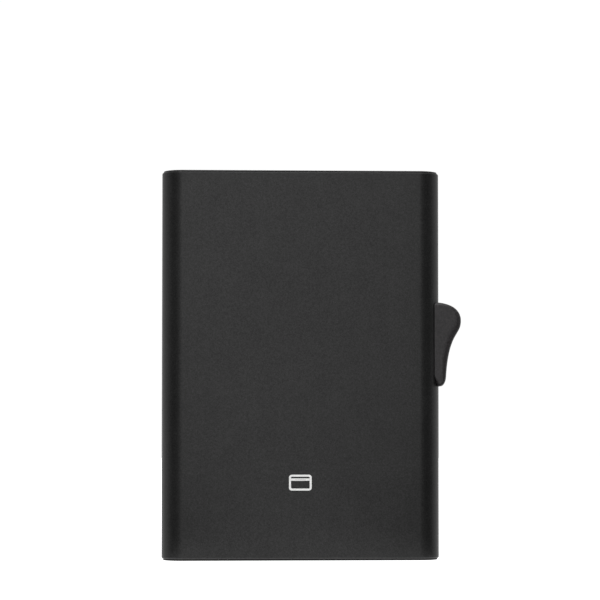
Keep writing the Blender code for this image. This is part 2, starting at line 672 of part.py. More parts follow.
def build_slider():
    """The strip in the rail: a cheek for the drive pin below, and a pocket for the lever's stem above."""
    low = SLIDER_BOTTOM
    cheek_left = CARDS_RIGHT + CHEEK_FROM_CARDS
    outline = [
        (cheek_left, low),
        (SLIDER_RIGHT, low),
        (SLIDER_RIGHT, SLIDER_TOP),
        (SLIDER_LEFT, SLIDER_TOP),
        (SLIDER_LEFT, low + CHEEK_HEIGHT),
        (cheek_left, low + CHEEK_HEIGHT),
    ]
    slider = outline_solid("slider", outline, SLIDER_FRONT, SLIDER_BACK, "XZ")
    thick_low = (SLIDER_LEFT + 0.1, SLIDER_BACK - 0.5, SLIDER_THICK_FROM)
    thick_high = (SLIDER_RIGHT - 0.1, CHANNEL_BACK - SLIDE_PLAY, SLIDER_TOP - 0.1)
    join(slider, box_solid("slider_thick", thick_low, thick_high))
    half = STEM_THICKNESS / 2 + TENON_PLAY
    pocket_low = (SLIDER_RIGHT - STEM_INTO_SLIDER - TENON_PLAY, -half, STEM_BOTTOM - TENON_PLAY)
    pocket_high = (SLIDER_RIGHT + OVERRUN, half, STEM_TOP + TENON_PLAY)
    cut(slider, box_solid("slider_pocket", pocket_low, pocket_high))
    middle = (SLIDER_LEFT + SLIDER_RIGHT) / 2
    across = BOW_WIDTH / 2 + BOW_PLAY
    recess_low = (middle - across, SLIDER_FRONT - OVERRUN, BOW_UP - BOW_END_PLAY)
    recess_high = (middle + across, SLIDER_FRONT + BOW_POCKET, BOW_UP + BOW_LENGTH + BOW_END_PLAY)
    cut(slider, box_solid("slider_recess", recess_low, recess_high))
    hole_r = DRIVE_PIN_R + EAR_PRESS_PLAY
    centre = (DRIVE_PIN_X, DRIVE_PIN_Z)
    hole_span = (SLIDER_FRONT - OVERRUN, SLIDER_BACK + OVERRUN)
    cut(slider, round_solid("slider_pin_hole", centre, "Y", *hole_span, hole_r, hole_r))
    return finish_part(slider, principled(*ACETAL))


def build_bow_spring():
    """A small bowed strip in the slider, which rubs on the rail and holds the lever where it is put."""
    foot = SLIDER_FRONT + BOW_POCKET - WALL_GAP
    bow = SLIDER_FRONT - SLIDE_PLAY + WALL_GAP + BOW_THICKNESS - foot
    outline = strip_outline(foot, bow, BOW_UP, BOW_LENGTH, BOW_THICKNESS, 16)
    middle = (SLIDER_LEFT + SLIDER_RIGHT) / 2
    spring = outline_solid("bow_spring", outline, middle - BOW_WIDTH / 2, middle + BOW_WIDTH / 2, "YZ")
    return finish_part(spring, principled(*SPRING_STEEL))


def build_drive_pin():
    """The pin that lifts the arm: pressed in the slider's cheek and free in the arm's slot."""
    centre = (DRIVE_PIN_X, DRIVE_PIN_Z)
    ends = (SLIDER_FRONT + 0.1, ARM_BACK)
    pin = round_solid("drive_pin", centre, "Y", *ends, DRIVE_PIN_R, DRIVE_PIN_R)
    return finish_part(pin, principled(*STEEL))


def lever_outline():
    """The lever's side view: a full crown above, a hollow flank for the thumb and a round tail."""
    side = HALF_WIDTH
    bottom = LEVER_BOTTOM
    inner = side - LEVER_INSIDE
    top = bottom + LEVER_TOP_UP
    crown = (side + LEVER_CROWN_OUT, bottom + LEVER_CROWN_UP)
    tail = (side + LEVER_TAIL_OUT, bottom + LEVER_TAIL_UP)
    foot = (side + LEVER_FOOT_OUT, bottom)
    heel = (inner, bottom + LEVER_HEEL_UP)
    heel_leave = (side - HEEL_FROM_SIDE[0], bottom + LEVER_HEEL_UP / 2)
    heel_curve = bezier(heel, heel_leave, (side - HEEL_FROM_SIDE[1], bottom), foot, 10)
    foot_leave = (foot[0] + FOOT_LEAVE, bottom)
    tail_arrive = (tail[0] - TAIL_ARRIVE[0], tail[1] - TAIL_ARRIVE[1])
    tail_curve = bezier(foot, foot_leave, tail_arrive, tail, 6)
    flank_leave = (tail[0] + FLANK_FROM_TAIL[0], tail[1] + FLANK_FROM_TAIL[1])
    flank_arrive = (crown[0], crown[1] - FLANK_UNDER_CROWN)
    flank = bezier(tail, flank_leave, flank_arrive, crown, 14)
    crown_leave = (crown[0], crown[1] + CROWN_OVER)
    top_arrive = (side + TOP_FROM_SIDE[0], top - TOP_FROM_SIDE[1])
    crown_curve = bezier(crown, crown_leave, top_arrive, (side - 0.1, top), 12)
    return heel_curve + tail_curve[1:] + flank[1:] + crown_curve[1:] + [(inner, top + 0.1)]


def build_thumb_lever():
    """The lever: a saddle on the sleeve's round side, with a stem through the slot."""
    half = LEVER_THICKNESS / 2
    lever = outline_solid("thumb_lever", lever_outline(), -half, half, "XZ")
    round_edges(lever, LEVER_EDGE, 3)
    span = (LEVER_BOTTOM - OVERRUN, LEVER_BOTTOM + LEVER_TOP_UP + OVERRUN)
    cut(lever, outline_solid("lever_saddle", sleeve_outline(-LEVER_GAP), *span, "XY"))
    stem_half = STEM_THICKNESS / 2
    stem_low = (SLIDER_RIGHT - STEM_INTO_SLIDER, -stem_half, STEM_BOTTOM)
    stem_high = (HALF_WIDTH + LEVER_GAP + 0.8, stem_half, STEM_TOP)
    join(lever, box_solid("lever_stem", stem_low, stem_high))
    return finish_part(lever, principled(*LEVER_PLASTIC))


# Assembly


def axis_empty(name, place, children):
    """An empty on a joint's axis, which carries the pieces that move with it."""
    empty = bpy.data.objects.new(name, None)
    empty.empty_display_size = 0.005
    empty.location = [value * MM for value in place]
    PARTS.objects.link(empty)
    bpy.context.view_layer.update()
    for child in children:
        child.parent = empty
        child.matrix_parent_inverse = empty.matrix_world.inverted()


def parent_cutters():
    """Ties each cutter to the piece it shapes, so that they move together."""
    for part in PARTS.objects:
        for modifier in part.modifiers:
            if modifier.type == "BOOLEAN":
                modifier.object.parent = part
                modifier.object.matrix_parent_inverse = part.matrix_world.inverted()


build_sleeve()
build_bottom_cap()
build_top_collar()
build_left_guide()
build_right_rail()
build_pivot_pin()
for which_side in (-1, 1):
    build_screw(which_side)
    build_leaf_spring(which_side)
    build_felt(which_side)
ejector_arm = build_ejector_arm()
sliding = [build_slider(), build_bow_spring(), build_drive_pin(), build_thumb_lever()]
bpy.context.view_layer.update()
parent_cutters()
axis_empty("arm_swing_axis", (PIVOT_X, 0, PIVOT_Z), [ejector_arm])
axis_empty("lever_slide_axis", (DRIVE_PIN_X, 0, DRIVE_PIN_Z), sliding)
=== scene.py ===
import math

import bmesh
import bpy
import numpy as np
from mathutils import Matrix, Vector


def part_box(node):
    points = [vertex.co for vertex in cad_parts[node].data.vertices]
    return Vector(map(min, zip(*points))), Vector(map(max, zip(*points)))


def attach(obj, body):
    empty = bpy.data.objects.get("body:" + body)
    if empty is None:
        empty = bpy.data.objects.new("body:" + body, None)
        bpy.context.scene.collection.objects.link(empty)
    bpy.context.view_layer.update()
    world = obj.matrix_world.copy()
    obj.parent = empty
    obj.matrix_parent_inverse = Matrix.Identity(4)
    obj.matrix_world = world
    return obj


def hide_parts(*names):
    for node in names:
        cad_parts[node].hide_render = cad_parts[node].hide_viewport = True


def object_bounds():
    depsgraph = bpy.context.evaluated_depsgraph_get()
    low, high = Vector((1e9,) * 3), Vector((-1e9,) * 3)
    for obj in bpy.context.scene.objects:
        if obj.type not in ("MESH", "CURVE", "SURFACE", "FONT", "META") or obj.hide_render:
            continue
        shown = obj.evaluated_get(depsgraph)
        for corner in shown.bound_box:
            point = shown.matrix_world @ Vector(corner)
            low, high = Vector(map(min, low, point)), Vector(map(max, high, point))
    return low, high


# Minimalist card wallet: a black aluminium sleeve, closed below by a plastic cap and framed above by a
# plastic collar. A lever on its side slides up and swings the arm inside, which fans the cards out.
# +X is towards the lever, -Y is the front and +Z is up. Sizes here are millimetres and meshes are metres.
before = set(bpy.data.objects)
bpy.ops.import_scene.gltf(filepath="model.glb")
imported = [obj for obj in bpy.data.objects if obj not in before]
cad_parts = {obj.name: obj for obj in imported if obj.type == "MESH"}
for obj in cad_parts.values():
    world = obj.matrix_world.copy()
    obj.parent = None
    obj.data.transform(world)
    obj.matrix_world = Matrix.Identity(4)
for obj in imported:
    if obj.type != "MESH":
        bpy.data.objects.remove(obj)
cad_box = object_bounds()
MM = 0.001


# Studio: a white room with a white floor, and two dark flags in front, left and right of the camera.
# The flags give the sleeve's rounds their dark bands, and the white room behind gives their bright rims.


def quads(rows, columns, rows_closed=False, columns_closed=True):
    """Quads of a grid numbered row by row; in a closed direction the last line joins the first."""
    row = np.arange(rows if rows_closed else rows - 1)[:, None]
    column = np.arange(columns if columns_closed else columns - 1)[None, :]
    next_row = (row + 1) % rows
    next_column = (column + 1) % columns
    corners = [row * columns + column, row * columns + next_column]
    corners += [next_row * columns + next_column, next_row * columns + column]
    return np.stack(corners, axis=-1).reshape(-1, 4)


def plain_object(name, points, faces):
    """A mesh object from points in metres and lists of point numbers."""
    mesh = bpy.data.meshes.new(name)
    mesh.from_pydata(np.asarray(points, dtype=float).tolist(), [], [list(map(int, f)) for f in faces])
    mesh.update()
    thing = bpy.data.objects.new(name, mesh)
    bpy.context.scene.collection.objects.link(thing)
    return thing


FLOOR_HALF = 1.6
FLOOR_GREY = 0.3
FLOOR_GLOW = 1.2
corners = np.array([(-1, -1, 0), (1, -1, 0), (1, 1, 0), (-1, 1, 0)]) * FLOOR_HALF
floor = plain_object("studio_floor", corners, [(0, 1, 2, 3)])
paper = bpy.data.materials.new("white_floor_paper")
paper.use_nodes = True
tree = paper.node_tree
tree.nodes.clear()
diffuse = tree.nodes.new("ShaderNodeBsdfDiffuse")
diffuse.inputs["Color"].default_value = (FLOOR_GREY, FLOOR_GREY, FLOOR_GREY, 1)
glow = tree.nodes.new("ShaderNodeEmission")
glow.inputs["Strength"].default_value = FLOOR_GLOW
lit = tree.nodes.new("ShaderNodeAddShader")
# the paper is clear from below, so that the underside can be looked at
clear = tree.nodes.new("ShaderNodeBsdfTransparent")
side = tree.nodes.new("ShaderNodeNewGeometry")
pick = tree.nodes.new("ShaderNodeMixShader")
output = tree.nodes.new("ShaderNodeOutputMaterial")
tree.links.new(diffuse.outputs[0], lit.inputs[0])
tree.links.new(glow.outputs[0], lit.inputs[1])
tree.links.new(side.outputs["Backfacing"], pick.inputs["Fac"])
tree.links.new(lit.outputs[0], pick.inputs[1])
tree.links.new(clear.outputs[0], pick.inputs[2])
tree.links.new(pick.outputs[0], output.inputs["Surface"])
floor.data.materials.append(paper)

FLAG_DISTANCE = 0.8
FLAG_HEIGHT = 1.1
FLAG_LIFT = 0.001  # the foot of the cloth lies this far over the floor
FLAG_STEPS = 25
# first and last angle in degrees from straight in front, plus to the right; how near the cloth comes over
# the floor; and its tone
FLAGS = {"flag_left": (-80, -16, 0.037, 0.17), "flag_right": (13, 83, 0.037, 0.12)}
for flag_name, (first, last, foot_distance, tone) in FLAGS.items():
    cloth = bpy.data.materials.new(flag_name + "_cloth")
    cloth.use_nodes = True
    cloth.node_tree.nodes["Principled BSDF"].inputs["Base Color"].default_value = (tone, tone, tone, 1)
    cloth.node_tree.nodes["Principled BSDF"].inputs["Roughness"].default_value = 1.0
    angle = np.radians(np.linspace(first, last, FLAG_STEPS))
    ring = np.stack([np.sin(angle), -np.cos(angle), 0 * angle], axis=1)
    lines = [ring * foot_distance, ring * FLAG_DISTANCE, ring * FLAG_DISTANCE]
    for line, height in zip(lines, (FLAG_LIFT, FLAG_LIFT, FLAG_HEIGHT)):
        line[:, 2] = height
    flag = plain_object(flag_name, np.concatenate(lines), quads(3, FLAG_STEPS, columns_closed=False))
    flag.data.materials.append(cloth)
    flag.visible_camera = False
    flag.visible_shadow = False


def softbox(name, size, power, place, tilt):
    """A rectangular lamp, its width and height in metres, tilted this far from straight down to the back."""
    lamp = bpy.data.lights.new(name, "AREA")
    lamp.shape = "RECTANGLE"
    lamp.size, lamp.size_y = size
    lamp.energy = power
    light = bpy.data.objects.new(name, lamp)
    light.location = place
    light.rotation_euler = (math.radians(tilt), 0, 0)
    bpy.context.scene.collection.objects.link(light)


softbox("front_softbox", (0.5, 0.9), 2.75, (-0.04, -1.0, 0.24), 90)
softbox("top_softbox", (0.9, 0.5), 6.0, (0, -0.45, 1.0), 24)

ROOM_LIGHT = 1.02
room = bpy.data.worlds.new("white_room")
bpy.context.scene.world = room
room.use_nodes = True
room.node_tree.nodes["Background"].inputs["Color"].default_value = (1.0, 1.0, 1.0, 1)
room.node_tree.nodes["Background"].inputs["Strength"].default_value = ROOM_LIGHT
bpy.context.scene.view_settings.view_transform = "Standard"

CAMERA_PLACE = (-28.3, -581.1, 34.3)
CAMERA_PITCH = 2.2425  # degrees upwards
CAMERA_YAW = 2.7774  # degrees towards the lever
CAMERA_LENS = 139.94  # on a film 36 mm wide
CAMERA_SHIFT = 0.05  # share of the film that the view is moved up by
camera_data = bpy.data.cameras.new("camera")
camera_data.lens = CAMERA_LENS
camera_data.sensor_width = 36.0
camera_data.shift_y = CAMERA_SHIFT
camera_data.clip_start = 0.01
camera = bpy.data.objects.new("camera", camera_data)
camera.location = [value * MM for value in CAMERA_PLACE]
camera.rotation_euler = (math.radians(90 + CAMERA_PITCH), 0, math.radians(-CAMERA_YAW))
bpy.context.scene.collection.objects.link(camera)
bpy.context.scene.camera = camera


# Sleeve: one drawn aluminium tube, fine blasted and anodised black. Its ends are broken by hand and its
# right side has the long slot that the lever's stem slides in.

SHARP = 32.0  # degrees; an edge bent more than this stays sharp
SLEEVE_ROUND = 5.25
SLEEVE_WALL = 1.2
END_BREAK = 0.4
INNER_BREAK = 0.12
SLOT_HALF = 1.25
SLOT_ENDS = (47.75, 80.25)
SLOT_BREAK = 0.15
SLOT_CLEAR = 2.6  # the columns of points are straight again this far from the slot's middle
BREAK_MIDDLE = 0.044  # the middle of the slot's rounded edge, in from the skin and from the wall
EDGE_ROW = 0.05  # a row of points this close to an edge keeps the plain side's shading level
END_CLEAR = 3.0  # the other rows begin this far from the ends
ROW_CLEAR = 1.0  # and stop this far from the slot
END_HIGHLIGHT = (0.25, 0.5)  # the painted highlight on the sleeve's ends is full up to the first distance from an end, and gone from the second
low, high = (np.array(corner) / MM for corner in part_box("case"))
half_width = (high[0] - low[0]) / 2
half_depth = (high[1] - low[1]) / 2
sleeve_bottom = low[2]
sleeve_top = high[2]


def joined(parts):
    """Points and faces of one mesh from those of several, each part's faces counted on from the last's."""
    points, faces, count = [], [], 0
    for part_points, part_faces in parts:
        points.append(part_points.reshape(-1, 3))
        faces += [[count + corner for corner in face] for face in part_faces]
        count += len(points[-1])
    return np.concatenate(points), faces


def finished_piece(name, points, faces, material, body, slot, stands_for=(), sharp=SHARP):
    """A welded mesh in millimetres, its faces turned outwards, smooth but for edges sharper than this."""
    piece = plain_object(name, np.asarray(points) * MM, faces)
    work = bmesh.new()
    work.from_mesh(piece.data)
    bmesh.ops.remove_doubles(work, verts=work.verts, dist=1e-7)
    bmesh.ops.dissolve_degenerate(work, edges=work.edges, dist=1e-8)
    bmesh.ops.recalc_face_normals(work, faces=work.faces)
    work.to_mesh(piece.data)
    work.free()
    piece.data.shade_smooth()
    piece.data.set_sharp_from_angle(angle=math.radians(sharp))
    piece.data.materials.append(material)
    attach(piece, body)
    if stands_for:
        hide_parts(*stands_for)
    return piece


def round_the_sleeve(inset, gap, z):
    """Rows of points round the sleeve's section, from the middle of the right side by the back and left.

    The section is a rectangle with quarter-round corners, drawn inwards by inset. At the right side a row
    begins and ends gap away from the middle; its first points go from there to SLOT_CLEAR, and on the round
    they lie at x = centre x + sqrt(r^2 - (y - centre y)^2). The rest lie at even angles.
    """
    inset, gap, z = (np.broadcast_to(v, np.shape(z)).astype(float)[:, None] for v in (inset, gap, z))
    radius = SLEEVE_ROUND - inset
    centre_x = half_width - SLEEVE_ROUND
    centre_y = half_depth - SLEEVE_ROUND
    away = gap + (SLOT_CLEAR - gap) * np.array([0, 0.04, 0.2, 0.4, 0.6, 0.8, 1.0])
    rise = np.clip(away - centre_y, 0, None)
    near_x = centre_x + np.sqrt(radius**2 - rise**2)
    start = np.arcsin((SLOT_CLEAR - centre_y) / radius)
    turn = start + (math.pi / 2 - start) * np.linspace(0, 1, 21)[1:]
    right_x = centre_x + radius * np.cos(turn)
    right_y = centre_y + radius * np.sin(turn)
    flat_x = centre_x * np.linspace(1, -1, 15)[1:-1] + 0 * z
    flat_y = centre_y + radius + 0 * flat_x
    corner = math.pi / 2 * (1 + np.linspace(0, 1, 25))
    left_x = -centre_x + radius * np.cos(corner)
    left_y = centre_y + radius * np.sin(corner)
    middle_x = -centre_x - radius
    x = np.concatenate([near_x, right_x, flat_x, left_x, middle_x], axis=1)
    y = np.concatenate([away, right_y, flat_y, left_y, 0 * z], axis=1)
    x = np.concatenate([x, x[:, -2::-1]], axis=1)
    y = np.concatenate([y, -y[:, -2::-1]], axis=1)
    return np.stack([x, y, z + 0 * x], axis=-1)


def sleeve_rows(first, last, edge):
    """Heights from one end to the other, and half the slot's width at each.

    The slot is a long hole with half-round ends of radius SLOT_HALF + edge: at an angle a from its tip,
    the half width is radius * sin(a) and the height is radius * cos(a) from the end's centre.
    """
    radius = SLOT_HALF + edge
    turn = np.linspace(0, math.pi / 2, 12)
    centres = (SLOT_ENDS[0] + SLOT_HALF, SLOT_ENDS[1] - SLOT_HALF)
    below = np.linspace(first + END_CLEAR, centres[0] - radius - ROW_CLEAR, 9)
    below = np.concatenate([[first, first + EDGE_ROW], below])
    above = np.linspace(centres[1] + radius + ROW_CLEAR, last - END_CLEAR, 4)
    above = np.concatenate([above, [last - EDGE_ROW, last]])
    between = np.linspace(*centres, 9)[1:-1]
    z = np.concatenate(
        [below, centres[0] - radius * np.cos(turn), between, centres[1] + radius * np.cos(turn[::-1]), above]
    )
    gap = np.concatenate(
        [0 * below, radius * np.sin(turn), radius + 0 * between, radius * np.sin(turn[::-1]), 0 * above]
    )
    return z, gap


def quarter(radius, steps=5):
    """Steps round a quarter circle: (in from the side, back from the end)."""
    turn = np.linspace(0, math.pi / 2, steps)
    return radius * (1 - np.cos(turn)), radius * (1 - np.sin(turn))


outer_z, outer_gap = sleeve_rows(sleeve_bottom + END_BREAK, sleeve_top - END_BREAK, SLOT_BREAK)
inner_z, inner_gap = sleeve_rows(sleeve_bottom + INNER_BREAK, sleeve_top - INNER_BREAK, SLOT_BREAK)
break_in, break_back = quarter(END_BREAK)
lip_in, lip_back = quarter(INNER_BREAK, 4)
end_inset = np.concatenate([break_in[1:], [END_BREAK + 0.03], (SLEEVE_WALL - lip_in)[::-1][:-1]])
end_back = np.concatenate([break_back[1:], [0], lip_back[::-1][:-1]])
row_inset = np.concatenate([0 * outer_z, end_inset, SLEEVE_WALL + 0 * inner_z, end_inset[::-1]])
row_gap = np.concatenate([outer_gap, 0 * end_inset, inner_gap[::-1], 0 * end_inset])
row_z = np.concatenate([outer_z, sleeve_top - end_back, inner_z[::-1], sleeve_bottom + end_back[::-1]])
skin = round_the_sleeve(row_inset, row_gap, row_z)
skin_rows, skin_columns = skin.shape[:2]
sleeve_parts = [(skin, quads(skin_rows, skin_columns, rows_closed=True, columns_closed=False))]
# the slot's walls, from the outer skin's edge to the inner skin's: (edge, inset) of each line of points
wall_lines = [(SLOT_BREAK, 0.0), (BREAK_MIDDLE, BREAK_MIDDLE), (0.0, SLOT_BREAK)]
wall_lines += [(edge, SLEEVE_WALL - inset) for edge, inset in wall_lines[::-1]]
in_slot = np.flatnonzero((outer_gap > 0) | (np.roll(outer_gap, -1) > 0) | (np.roll(outer_gap, 1) > 0))
for way in (1, -1):
    lines = []
    for edge, inset in wall_lines:
        end_break = END_BREAK if inset == 0 else INNER_BREAK
        z, gap = sleeve_rows(sleeve_bottom + end_break, sleeve_top - end_break, edge)
        line = round_the_sleeve(inset, gap, z)[in_slot, 0]
        lines.append(line * (1, way, 1))
    wall = np.stack(lines)
    sleeve_parts.append((wall, quads(*wall.shape[:2], columns_closed=False)))


class Nodes:
    """A material's node tree, with short calls that add a node and join it to others."""

    def __init__(self, name):
        self.material = bpy.data.materials.new(name)
        self.material.use_nodes = True
        self.tree = self.material.node_tree
        self.shader = self.tree.nodes["Principled BSDF"]
        self.place = self.add("ShaderNodeTexCoord").outputs["Object"]

    def add(self, kind, **settings):
        """A new node with these settings."""
        node = self.tree.nodes.new(kind)
        for key, value in settings.items():
            setattr(node, key, value)
        return node

    def join(self, source, target):
        """Links an output to an input."""
        self.tree.links.new(source, target)

    def stretched(self, scale, location=(0, 0, 0), rotation=(0, 0, 0)):
        """The object's coordinates, moved, turned and scaled."""
        mapping = self.add("ShaderNodeMapping")
        mapping.inputs["Location"].default_value = location
        mapping.inputs["Rotation"].default_value = rotation
        mapping.inputs["Scale"].default_value = scale
        self.join(self.place, mapping.inputs["Vector"])
        return mapping.outputs["Vector"]

    def noise(self, scale, detail=2.0, rough=0.5, where=None):
        """Cloudy noise, 0 to 1, with about this many cells to the metre."""
        node = self.add("ShaderNodeTexNoise")
        node.inputs["Scale"].default_value = scale
        node.inputs["Detail"].default_value = detail
        node.inputs["Roughness"].default_value = rough
        self.join(where or self.place, node.inputs["Vector"])
        return node.outputs["Fac"]

    def spread(self, source, low, high, from_low=0.0, from_high=1.0):
        """Maps a value from one range to another, held at its ends."""
        node = self.add("ShaderNodeMapRange")
        ends = {"From Min": from_low, "From Max": from_high, "To Min": low, "To Max": high}
        for key, value in ends.items():
            node.inputs[key].default_value = value
        self.join(source, node.inputs["Value"])
        return node.outputs["Result"]

    def swing(self, noise, low, high):
        """Spreads a cloudy noise, which lies almost wholly between 0.3 and 0.7, over a range."""
        return self.spread(noise, low, high, 0.3, 0.7)

    def reckoned(self, operation, first, second):
        """The result of an operation on a value and a second value or a number."""
        node = self.add("ShaderNodeMath", operation=operation)
        self.join(first, node.inputs[0])
        if isinstance(second, (int, float)):
            node.inputs[1].default_value = second
        else:
            self.join(second, node.inputs[1])
        return node.outputs["Value"]

    def sum(self, first, second):
        """Two values, or a value and a number, added."""
        return self.reckoned("ADD", first, second)

    def product(self, first, second):
        """Two values, or a value and a number, multiplied."""
        return self.reckoned("MULTIPLY", first, second)

    def colour(self, value, stops):
        """A colour ramp over a value; stops are (place, colour)."""
        node = self.add("ShaderNodeValToRGB")
        ramp = node.color_ramp
        while len(ramp.elements) < len(stops):
            ramp.elements.new(0.5)
        for element, (place, shade) in zip(ramp.elements, stops):
            element.position = place
            element.color = (*shade, 1.0)
        self.join(value, node.inputs["Fac"])
        return node.outputs["Color"]

    def axis(self, name):
        """One of the object's own coordinates, in metres."""
        node = self.add("ShaderNodeSeparateXYZ")
        self.join(self.place, node.inputs["Vector"])
        return node.outputs[name]

    def bump(self, height, distance_mm, strength):
        """Tips the shader's normal as a relief this deep would."""
        node = self.add("ShaderNodeBump")
        node.inputs["Strength"].default_value = strength
        node.inputs["Distance"].default_value = distance_mm * MM
        self.join(height, node.inputs["Height"])
        self.join(node.outputs["Normal"], self.shader.inputs["Normal"])

    def set(self, **values):
        """Sets the shader's own sockets; an underscore stands for a space in a socket's name."""
        for key, value in values.items():
            self.shader.inputs[key.replace("_", " ")].default_value = value


finish = Nodes("black_anodised_aluminium")
grain = finish.noise(5200, 3.0, 0.62)
pits = finish.noise(11000, 1.0, 0.5)
cloud = finish.noise(150, 3.0, 0.55)
mottle = finish.noise(2500, 2.0, 0.6)
drift = finish.noise(22, 2.0, 0.5)
drawn = finish.noise(1.0, 2.0, 0.5, where=finish.stretched((900, 900, 14)))
shade = finish.sum(finish.swing(grain, -0.42, 0.42), finish.swing(cloud, -0.08, 0.08))
shade = finish.sum(shade, finish.swing(mottle, -0.24, 0.24))
shade = finish.sum(shade, finish.swing(drift, 0.45, 0.55))
shade = finish.sum(shade, finish.swing(drawn, -0.02, 0.02))
# painted highlight: the sleeve's broken ends are lightened, the lower one most, standing in for the light
# their rounds catch
height = finish.axis("Z")
top_highlight_heights = [(sleeve_top - distance) * MM for distance in END_HIGHLIGHT[::-1]]
foot_highlight_heights = [(sleeve_bottom + distance) * MM for distance in END_HIGHLIGHT]
shade = finish.sum(shade, finish.spread(height, 0.0, 0.1, *top_highlight_heights))
shade = finish.sum(shade, finish.spread(height, 0.8, 0.0, *foot_highlight_heights))
# the tone is scaled down so that the ramp's last stop is left for the painted highlight on the ends
shade = finish.product(shade, 0.6)
dye = [(0.0, (0.0125, 0.0125, 0.0126)), (0.3, (0.0205, 0.0206, 0.0206)), (0.6, (0.031, 0.031, 0.0311))]
dye.append((0.85, (0.045, 0.045, 0.045)))
finish.join(finish.colour(shade, dye), finish.shader.inputs["Base Color"])
gloss = finish.sum(finish.swing(cloud, -0.01, 0.01), finish.swing(grain, 0.35, 0.45))
finish.join(gloss, finish.shader.inputs["Roughness"])
finish.bump(finish.sum(grain, finish.product(pits, 0.5)), 0.012, 0.55)
finish.set(Metallic=0.72, Specular_IOR_Level=0.3, Specular_Tint=(0.75, 0.75, 0.75, 1.0))
finished_piece("sleeve", *joined(sleeve_parts), finish.material, "housing", "sleeve", ["case"])


# Front mark: a small plain card sign on the lower front. It is pale grey ink, printed on the finished
# sleeve and a hundredth of a millimetre thick.

MARK_CENTRE = (-0.3, 19.2)
MARK_SIZE = (5.6, 3.9)
MARK_LINE = 0.5
MARK_ROUNDS = (0.7, 0.25)  # radius of the line's outer and inner corners
MARK_STRIPE = (0.45, 1.05)  # lower and upper edge of the stripe, above the centre
STRIPE_END = 0.45  # the stripe's ends, in from the mark's sides
STRIPE_SLIT = (1.4, 0.28)  # its inner outline, in from the mark's sides and from the stripe's long edges
INK = 0.012
INK_SUNK = 0.004  # part of the ink's thickness that is under the sleeve's face


def rectangle(left, right, low, high, radius, steps=8):
    """Points round a rectangle with quarter-round corners: corner centre + radius * (cos a, sin a)."""
    turn = np.linspace(0, math.pi / 2, steps + 1)
    angle = np.concatenate([turn + quarter_turn * math.pi / 2 for quarter_turn in range(4)])
    across = np.repeat([right - radius, left + radius, left + radius, right - radius], steps + 1)
    up = np.repeat([high - radius, high - radius, low + radius, low + radius], steps + 1)
    return np.stack([across + radius * np.cos(angle), up + radius * np.sin(angle)], axis=1)


def printed(outer, inner, face_y):
    """Thin raised ink between an outer and an inner outline."""
    rings = [(outer, 0.0), (outer, INK), (inner, INK), (inner, 0.0)]
    stack = np.stack([np.insert(ring, 1, face_y - up + INK_SUNK, axis=1) for ring, up in rings])
    return stack, quads(*stack.shape[:2], rows_closed=True)


mark_left = MARK_CENTRE[0] - MARK_SIZE[0] / 2
mark_right = MARK_CENTRE[0] + MARK_SIZE[0] / 2
mark_low = MARK_CENTRE[1] - MARK_SIZE[1] / 2
mark_high = MARK_CENTRE[1] + MARK_SIZE[1] / 2
card_edge = rectangle(mark_left, mark_right, mark_low, mark_high, MARK_ROUNDS[0])
card_hole = rectangle(
    mark_left + MARK_LINE, mark_right - MARK_LINE, mark_low + MARK_LINE, mark_high - MARK_LINE, MARK_ROUNDS[1]
)
stripe_low = MARK_CENTRE[1] + MARK_STRIPE[0]
stripe_high = MARK_CENTRE[1] + MARK_STRIPE[1]
stripe_edge = rectangle(mark_left + STRIPE_END, mark_right - STRIPE_END, stripe_low, stripe_high, 0.05)
stripe_slit = rectangle(
    mark_left + STRIPE_SLIT[0], mark_right - STRIPE_SLIT[0],
    stripe_low + STRIPE_SLIT[1], stripe_high - STRIPE_SLIT[1], 0.01,
)
mark_parts = [printed(card_edge, card_hole, -half_depth), printed(stripe_edge, stripe_slit, -half_depth)]
ink = Nodes("pale_ink")
speck = ink.noise(6000, 2.0)
pale_grey = [(0.3, (0.60, 0.60, 0.60)), (0.7, (0.72, 0.72, 0.71))]
ink.join(ink.colour(speck, pale_grey), ink.shader.inputs["Base Color"])
ink.join(ink.spread(speck, 0.45, 0.6), ink.shader.inputs["Roughness"])
ink.bump(speck, 0.004, 0.5)
finished_piece("front_mark", *joined(mark_parts), ink.material, "housing", "sleeve")


# Bottom cap: black moulded nylon, a lip that covers the sleeve's end and a plug inside it. Two screws hold
# it from below, in countersunk holes, and the wallet stands on the rim and rib round its two hollows.

CAP_INSET = 0.4
PLUG_INSET = 1.35
LIP = 0.3
FLOOR_TOP = 2.2
HOLLOW = (2.5, 24.0, 3.2, 0.8)  # each hollow's near and far side, half depth and height
HOLLOW_ROUND = 0.6
FIXING = (30.6, -2.9)  # the screws' places, to either side and to the front
HEAD_HOLE = 1.44
SHANK_HOLE = 0.72
HEAD_SINK = 0.83
CUT_BELOW = 0.3  # what takes the holes and hollows out begins this far below the cap
ROUND_STEPS = 24  # steps round a corner, the same for the sleeve's outline and the mouth's


def sleeve_section(inset):
    """The sleeve's section drawn inwards, as an outline."""
    right, back = half_width - inset, half_depth - inset
    return rectangle(-right, right, -back, back, SLEEVE_ROUND - inset, ROUND_STEPS)


def stacked(rings):
    """Points of outlines laid one above another: (outline, height) for each, all with as many points."""
    return np.stack([np.column_stack([ring, np.full(len(ring), z)]) for ring, z in rings])


def closed_ends(stack):
    """Quads between the outlines of a stack, and one face over its first outline and one over its last."""
    rows, columns = stack.shape[:2]
    last = (rows - 1) * columns
    return quads(rows, columns).tolist() + [list(range(columns)), list(range(last, last + columns))]


